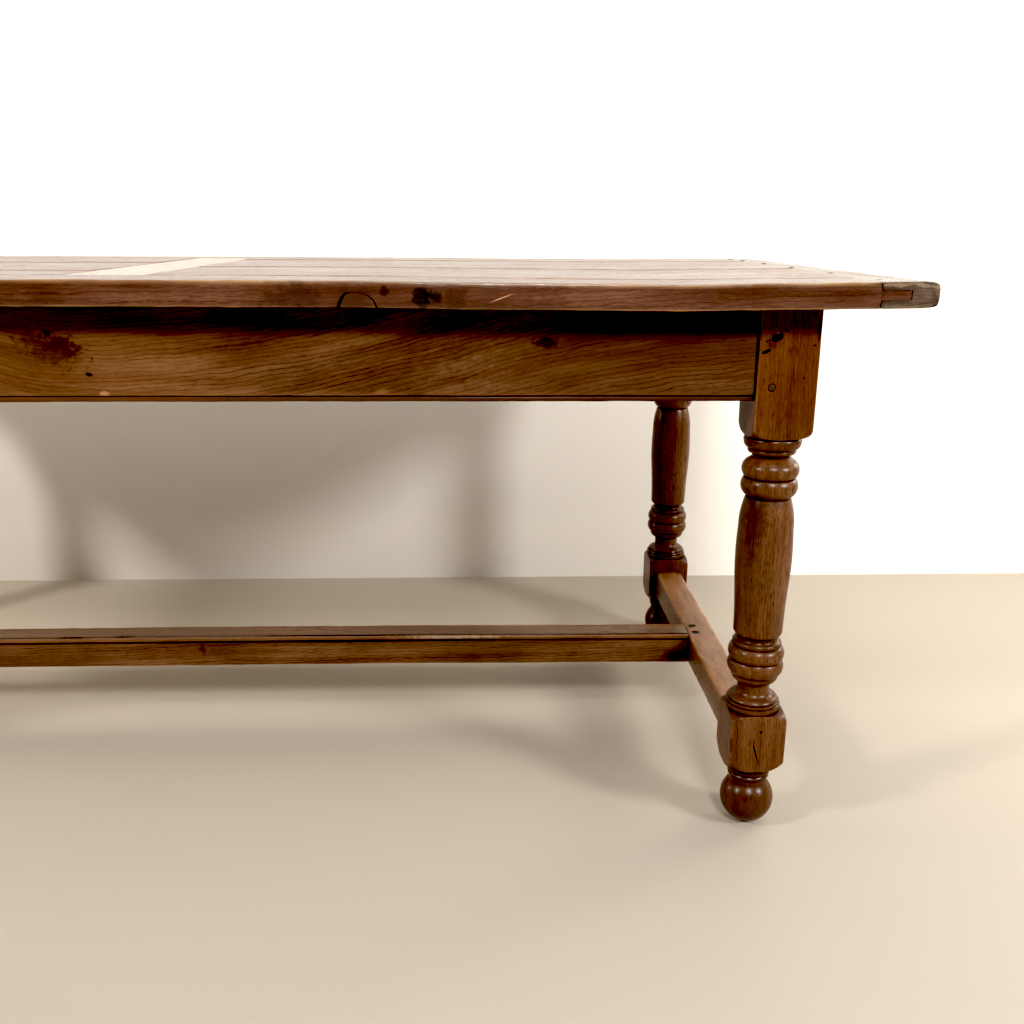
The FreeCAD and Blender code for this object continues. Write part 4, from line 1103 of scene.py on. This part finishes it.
for side, turn in (("front", 0), ("back", 180)):
    board = run_length(
        "top_border_" + side + "_body", BORDER_SECTION, -TOP_JOINT_END, TOP_JOINT_END, 0.008, 0.0004,
    )
    arris_group(board, BORDER_SECTION)
    tongues = [
        run_length("tongue", TONGUE_SECTION, start, start + TONGUE_LENGTH, 0.01, 0.0003)
        for start in TONGUE_STARTS
    ]
    board = joined("top_border_" + side + "_board", [board, *tongues])
    put(board, (0, TOP_FRONT if side == "front" else -TOP_FRONT, TOP_LOW), turn)
    weathered(board, 0.0010, 0.10)
    weathered(board, 0.0003, 0.013)
    weathered(board, 0.0010, 0.014, "arris", True, 2.2)
    settled(board)
    cut_from(top_oak, board, "X", (0, -0.36 if side == "front" else 0.38, 0.70), (0, 0.6, 1))
    if side == "front":
        # An arched split, a short one, and notches where the cleat's joint has opened below and above
        edge_y = TOP_FRONT - 0.0005
        arch = (
            (0.297, 0.7275), (0.2985, 0.735), (0.3025, 0.7425), (0.306, 0.7465), (0.313, 0.7475),
            (0.324, 0.7467), (0.331, 0.7445), (0.338, 0.7385), (0.3425, 0.7275),
        )
        spread = (0.0024, 0.0022, 0.0017, 0.0009, 0.0004, 0.0004, 0.0006, 0.0008, 0.0011)
        short = ((0.2555, 0.7270), (0.2535, 0.7315), (0.2505, 0.7365))
        cuts = [
            split([(x, edge_y, z) for x, z in arch], spread, (1, 3, 1)),
            split([(x, edge_y, z) for x, z in short], (0.0007, 0.0005, 0.0001), (1, 3, 1)),
            bite((TOP_JOINT_END, edge_y, 0.7325), (0.0013, 0.004, 0.0050)),
            bite((TOP_JOINT_END, edge_y, 0.7585), (0.0010, 0.003, 0.0050)),
        ]
        carved(board, cuts)
        painted_stains_and_shade(board, EDGE_MARKS)
    smooth(board, 40)
    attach(board, "root")
    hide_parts("top_border_" + side)


# Cross board
# A paler oak board across the middle of the top, between the borders, that takes the ends of the planks.
cross_oak = oak_finish(
    "pale_cross_oak",
    dark=(0.05, 0.025, 0.012, 1), mid=(0.22, 0.135, 0.085, 1),
    light=(0.31, 0.20, 0.13, 1), worn=(0.46, 0.28, 0.16, 1),
    ring=0.0032, wander=0.02, line=0.4, fleck=0.35,
    rough=(0.17, 0.28), shine=0.5, coat=0.5,
)
CROSS_SECTION = ((-49.8, 0, 0.7), (49.8, 0, 0.7), (49.8, 31, 0.8), (-49.8, 31, 0.8))
CROSS_END = 0.3168
cross_board = run_length("top_cross_board_plank", CROSS_SECTION, -CROSS_END, CROSS_END, 0.008, 0.0006)
arris_group(cross_board, CROSS_SECTION)
put(cross_board, (0, 0, TOP_LOW), 90)
weathered(cross_board, 0.0008, 0.08)
weathered(cross_board, 0.0007, 0.01, "arris", True, 2.0)
settled(cross_board)
cut_from(cross_oak, cross_board, "Y", (0.02, 0, 0.71), (0, 1, 1))
smooth(cross_board, 40)
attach(cross_board, "root")
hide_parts("top_cross_board")


# Planks
# Oak planks of odd widths fill the top on each side of the cross board, tongued to it, to each other, to
# the borders and to the cleats. Each was cut from another tree, so tone and figure change at each joint.
PLANK_START = 0.0502
# Joints between the planks of each half, from the front
PLANK_EDGES = {
    "left": (-0.317, -0.2099, -0.0596, 0.0735, 0.317),
    "right": (-0.317, -0.0659, 0.038, 0.2378, 0.317),
}
# How far each plank now stands up from its neighbours, from the front, in metres
PLANK_RISES = {"left": (0.0002, 0.0007, 0.0003, 0.0009), "right": (0.0003, 0.0009, 0.0004, 0.0010)}
for side, edges in PLANK_EDGES.items():
    for number, (low, high) in enumerate(zip(edges, edges[1:]), start=1):
        half = (high - low) / 2 * 1000 - 0.4
        section = ((-half, 0, 0.7), (half, 0, 0.7), (half, 31, 1.2), (-half, 31, 1.2))
        start, end = (PLANK_START, TOP_JOINT_END) if side == "right" else (-TOP_JOINT_END, -PLANK_START)
        plank_name = "top_plank_" + side + "_" + str(number)
        plank = run_length(plank_name + "_board", section, start, end, 0.01, 0.0006, 12)
        arris_group(plank, section)
        middle = (low + high) / 2
        put(plank, (0, middle, TOP_LOW + PLANK_RISES[side][number - 1]))
        weathered(plank, 0.0012, 0.09)
        weathered(plank, 0.0008, 0.01, "arris", True, 2.0)
        settled(plank)
        luck = random.Random(number * 7 + len(side))
        heart = (
            luck.uniform(-0.4, 0.4), middle + luck.uniform(-0.06, 0.06), TOP_LOW - luck.uniform(0.01, 0.06),
        )
        cut_from(top_oak, plank, "X", heart, (0, luck.uniform(-1.5, 1.5), luck.uniform(-1.5, 1.5)))
        smooth(plank, 40)
        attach(plank, "root")
        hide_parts(plank_name)


# Cleats and their pegs
# An oak cleat is clamped across each end of the top, grooved over the tongues of the boards and pegged
# through them. Its grain runs across the table, so its ends show grey end grain.
cleat_oak = oak_finish(
    "grey_cleat_oak",
    dark=(0.012, 0.007, 0.004, 1), mid=(0.070, 0.048, 0.036, 1),
    light=(0.125, 0.090, 0.069, 1), worn=(0.19, 0.130, 0.090, 1),
    ring=0.0036, wander=0.02, line=0.8, fleck=0.8,
    rough=(0.2, 0.34), shine=0.5, coat=0.25,
)
CLEAT_SECTION = (
    (0, 0, 0.8),
    (69.8, 0, 12),
    (69.8, 31, 13),
    (0, 31, 0.9),
    (0, 21.2, 0.3),
    (36, 21.2, 0),
    (36, 9.8, 0),
    (0, 9.8, 0.3),
)
# The front right end is rubbed pale along its upper and lower arrises
CLEAT_MARKS = (
    ((0.945, -0.412, 0.7580), (0.020, 0.010, 0.0028), 0, 2, (0.30, 0.215, 0.145, 1), 0.5),
    ((0.980, -0.412, 0.7575), (0.022, 0.010, 0.0026), -8, 3, (0.34, 0.26, 0.19, 1), 0.4),
    ((0.955, -0.412, 0.7325), (0.036, 0.010, 0.0020), 0, 2, (0.20, 0.145, 0.09, 1), 0.4),
)
CLEAT_START = 0.9282
CLEAT_WIDTH = 0.0698
CLEAT_CORNER = 0.0035
CLEAT_EASE = 0.0022
CLEAT_END = 0.412
HALF_THICK = 0.0155
CLEAT_PEG_X = 0.942
CLEAT_PEG_Y = (-0.3645, -0.1915, -0.0140, 0.1379, 0.2774, 0.3645)
CLEAT_PEG_STAND = 0.0009
CLEAT_PEG_HOLE = 0.0042
CLEAT_PEG_END = 0.004
CLEAT_PEG_LENGTH = 0.02
CLEAT_PEG_SUNK = 0.0002
CLEAT_PEG_SEED = 60
# The ends are cut across here, inwards from the end, so that they can be rounded
CLEAT_CUTS = (0.0042, 0.0034, 0.0026, 0.0018, 0.0012, 0.0006)
for side, turn in (("right", 0), ("left", 180)):
    # The section is drawn across the table's length, so the run is turned a quarter from X to Y
    cleat = run_length("top_cleat_" + side + "_board", CLEAT_SECTION, -CLEAT_END, CLEAT_END, 0.008, 0.0002)
    arris_group(cleat, CLEAT_SECTION, 0.5)
    cleat.data.transform(Matrix.Rotation(math.radians(-90), 4, "Z"))
    bpy.ops.object.mode_set(mode="EDIT")
    for inset in CLEAT_CUTS:
        for end in (-1, 1):
            bpy.ops.mesh.select_all(action="SELECT")
            bpy.ops.mesh.bisect(plane_co=(0, end * (CLEAT_END - inset), 0), plane_no=(0, 1, 0))
    closed_up()
    # The corners are rounded in plan, and the ends are eased over and under
    for vertex in cleat.data.vertices:
        past_y = abs(vertex.co.y) - (CLEAT_END - CLEAT_CORNER)
        past_x = vertex.co.x - (CLEAT_WIDTH - CLEAT_CORNER)
        past = math.hypot(past_x, past_y)
        if past_x > 0 and past_y > 0 and past > CLEAT_CORNER:
            vertex.co.x -= past_x * (1 - CLEAT_CORNER / past)
            vertex.co.y -= math.copysign(past_y * (1 - CLEAT_CORNER / past), vertex.co.y)
        past_y = abs(vertex.co.y) - (CLEAT_END - CLEAT_EASE)
        past_z = abs(vertex.co.z - HALF_THICK) - (HALF_THICK - CLEAT_EASE)
        past = math.hypot(past_y, past_z)
        if past_y > 0 and past_z > 0 and past > CLEAT_EASE:
            vertex.co.y -= math.copysign(past_y * (1 - CLEAT_EASE / past), vertex.co.y)
            vertex.co.z -= math.copysign(past_z * (1 - CLEAT_EASE / past), vertex.co.z - HALF_THICK)
    put(cleat, (CLEAT_START, 0, TOP_LOW))
    put(cleat, (0, 0, 0), turn)
    weathered(cleat, 0.0010, 0.08)
    weathered(cleat, 0.0003, 0.012)
    weathered(cleat, 0.0008, 0.013, "arris", True, 2.0)
    settled(cleat)
    out = 1 if side == "right" else -1
    cut_from(cleat_oak, cleat, "Y", (out * 0.99, 0, 0.42), (0, 1, 1))
    peg_places = [(out * CLEAT_PEG_X, out * y, TOP_HIGH + CLEAT_PEG_STAND) for y in CLEAT_PEG_Y]
    carved(cleat, [socket(place, CLEAT_PEG_HOLE, SOCKET_DEPTH, (0, 0, 0)) for place in peg_places])
    painted_stains_and_shade(cleat, CLEAT_MARKS)
    smooth(cleat, 40)
    finish_by(cleat, "WEIGHTED_NORMAL", keep_sharp=True)
    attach(cleat, "root")
    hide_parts("top_cleat_" + side)
    pegs = upright_pegs(peg_places, CLEAT_PEG_SUNK, CLEAT_PEG_END, CLEAT_PEG_LENGTH, CLEAT_PEG_SEED)
    cleat_pegs = joined("cleat_" + side + "_pegs", pegs)
    cut_from(peg_oak, cleat_pegs, "Z", (out * CLEAT_PEG_X, 0, TOP_HIGH))
    smooth(cleat_pegs, 40)
    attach(cleat_pegs, "root")
    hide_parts("cleat_pegs_" + side)


# Floor, backdrop, light and camera
# A plain pale floor and a white backdrop, round lamps in front, to the left and to the right, a wide soft
# light above, and weak lamps low at the sides that reach under the table.
def plain_finish(name, low, high, roughness):
    """A plain painted or ground surface with only a slight change of tone, clear from its back."""
    finish = bpy.data.materials.new(name)
    finish.use_nodes = True
    surface = finish.node_tree.nodes["Principled BSDF"]
    here = add_node(finish, "TexCoord").outputs["Object"]
    tone = mixed(finish, stretched_noise(finish, here, (4, 4, 4), 4), low, high)
    finish.node_tree.links.new(tone.outputs[0], surface.inputs["Base Color"])
    surface.inputs["Roughness"].default_value = roughness
    behind = add_node(finish, "NewGeometry").outputs["Backfacing"]
    clear = add_node(finish, "BsdfTransparent")
    one_sided = add_node(finish, "MixShader", {0: behind, 1: surface, 2: clear})
    output = finish.node_tree.nodes["Material Output"]
    finish.node_tree.links.new(one_sided.outputs[0], output.inputs["Surface"])
    return finish


bpy.ops.object.select_all(action="DESELECT")
bpy.ops.mesh.primitive_plane_add(size=1, location=(0, -1.0, 0))
floor = bpy.context.object
floor.name = "floor"
floor.scale = (12, 9.2, 1)
floor_finish = plain_finish("pale_floor", (0.345, 0.304, 0.255, 1), (0.415, 0.37, 0.312, 1), 0.6)
floor.data.materials.append(floor_finish)
bpy.ops.mesh.primitive_plane_add(size=1, location=(0, 0.70, 2.0), rotation=(math.pi / 2, 0, 0))
backdrop = bpy.context.object
backdrop.name = "backdrop"
backdrop.scale = (12, 4, 1)
backdrop_finish = plain_finish("white_backdrop", (0.86, 0.82, 0.76, 1), (0.90, 0.86, 0.80, 1), 0.9)
backdrop.data.materials.append(backdrop_finish)


def lamp(name, place, towards, size, power, colour):
    """A round soft lamp pointed at a place."""
    bpy.ops.object.light_add(type="AREA", location=place)
    light = bpy.context.object
    light.name = name
    light.data.shape = "DISK"
    light.data.size = size
    light.data.energy = power
    light.data.color = colour
    light.rotation_euler = (Vector(towards) - Vector(place)).to_track_quat("-Z", "Y").to_euler()


lamp("front_lamp", (0.85, -4.4, 3.85), (0.48, 0, 0.4), 0.9, 170, (1, 0.97, 0.93))
lamp("left_lamp", (-2.92, -1.9, 2.7), (0.58, 0, 0.4), 0.5, 90, (1, 0.97, 0.93))
lamp("right_lamp", (3.9, -2.6, 2.4), (0.6, -0.2, 0.3), 0.9, 130, (1, 0.97, 0.93))
lamp("low_left_lamp", (-2.32, 0.5, 1.0), (0.28, 0.45, 0.0), 0.5, 18, (1, 0.83, 0.62))
lamp("low_right_lamp", (2.28, 0.5, 1.0), (0.28, 0.45, 0.0), 0.5, 8, (1, 0.88, 0.72))
lamp("wide_lamp", (0.78, -0.5, 3.4), (0.78, 0.0, 0), 2.4, 40, (1, 1, 1))
sky = bpy.context.scene.world or bpy.data.worlds.new("sky")
bpy.context.scene.world = sky
sky.use_nodes = True
sky.node_tree.nodes["Background"].inputs["Color"].default_value = (1, 1, 1, 1)
# The sky is weak as a light, and pale where the camera looks past the floor
seen = sky.node_tree.nodes.new("ShaderNodeLightPath").outputs["Is Camera Ray"]
strength = sky.node_tree.nodes.new("ShaderNodeMapRange")
strength.inputs["To Min"].default_value = 0.03
strength.inputs["To Max"].default_value = 0.75
sky.node_tree.links.new(seen, strength.inputs["Value"])
sky.node_tree.links.new(strength.outputs[0], sky.node_tree.nodes["Background"].inputs["Strength"])
# The picture is printed hard: deep blacks and a white ground
view = bpy.context.scene.view_settings
view.view_transform = "Standard"
view.use_curve_mapping = True
view.curve_mapping.black_level = (0.032, 0.032, 0.032)
view.curve_mapping.white_level = (0.8, 0.8, 0.8)
view.curve_mapping.update()

CAMERA_PLACE = (0.4542, -1.5830, 0.8243)
CAMERA_PITCH, CAMERA_YAW, CAMERA_ROLL = 16.12, 2.1425, 0.3125
bpy.ops.object.camera_add(location=CAMERA_PLACE)
camera = bpy.context.object
camera.data.lens = 35.11
aim = Matrix.Rotation(math.radians(-CAMERA_YAW), 3, "Z")
aim = aim @ Matrix.Rotation(math.radians(90 - CAMERA_PITCH), 3, "X")
aim = aim @ Matrix.Rotation(math.radians(CAMERA_ROLL), 3, "Z")
camera.rotation_euler = aim.to_euler()
bpy.context.scene.camera = camera
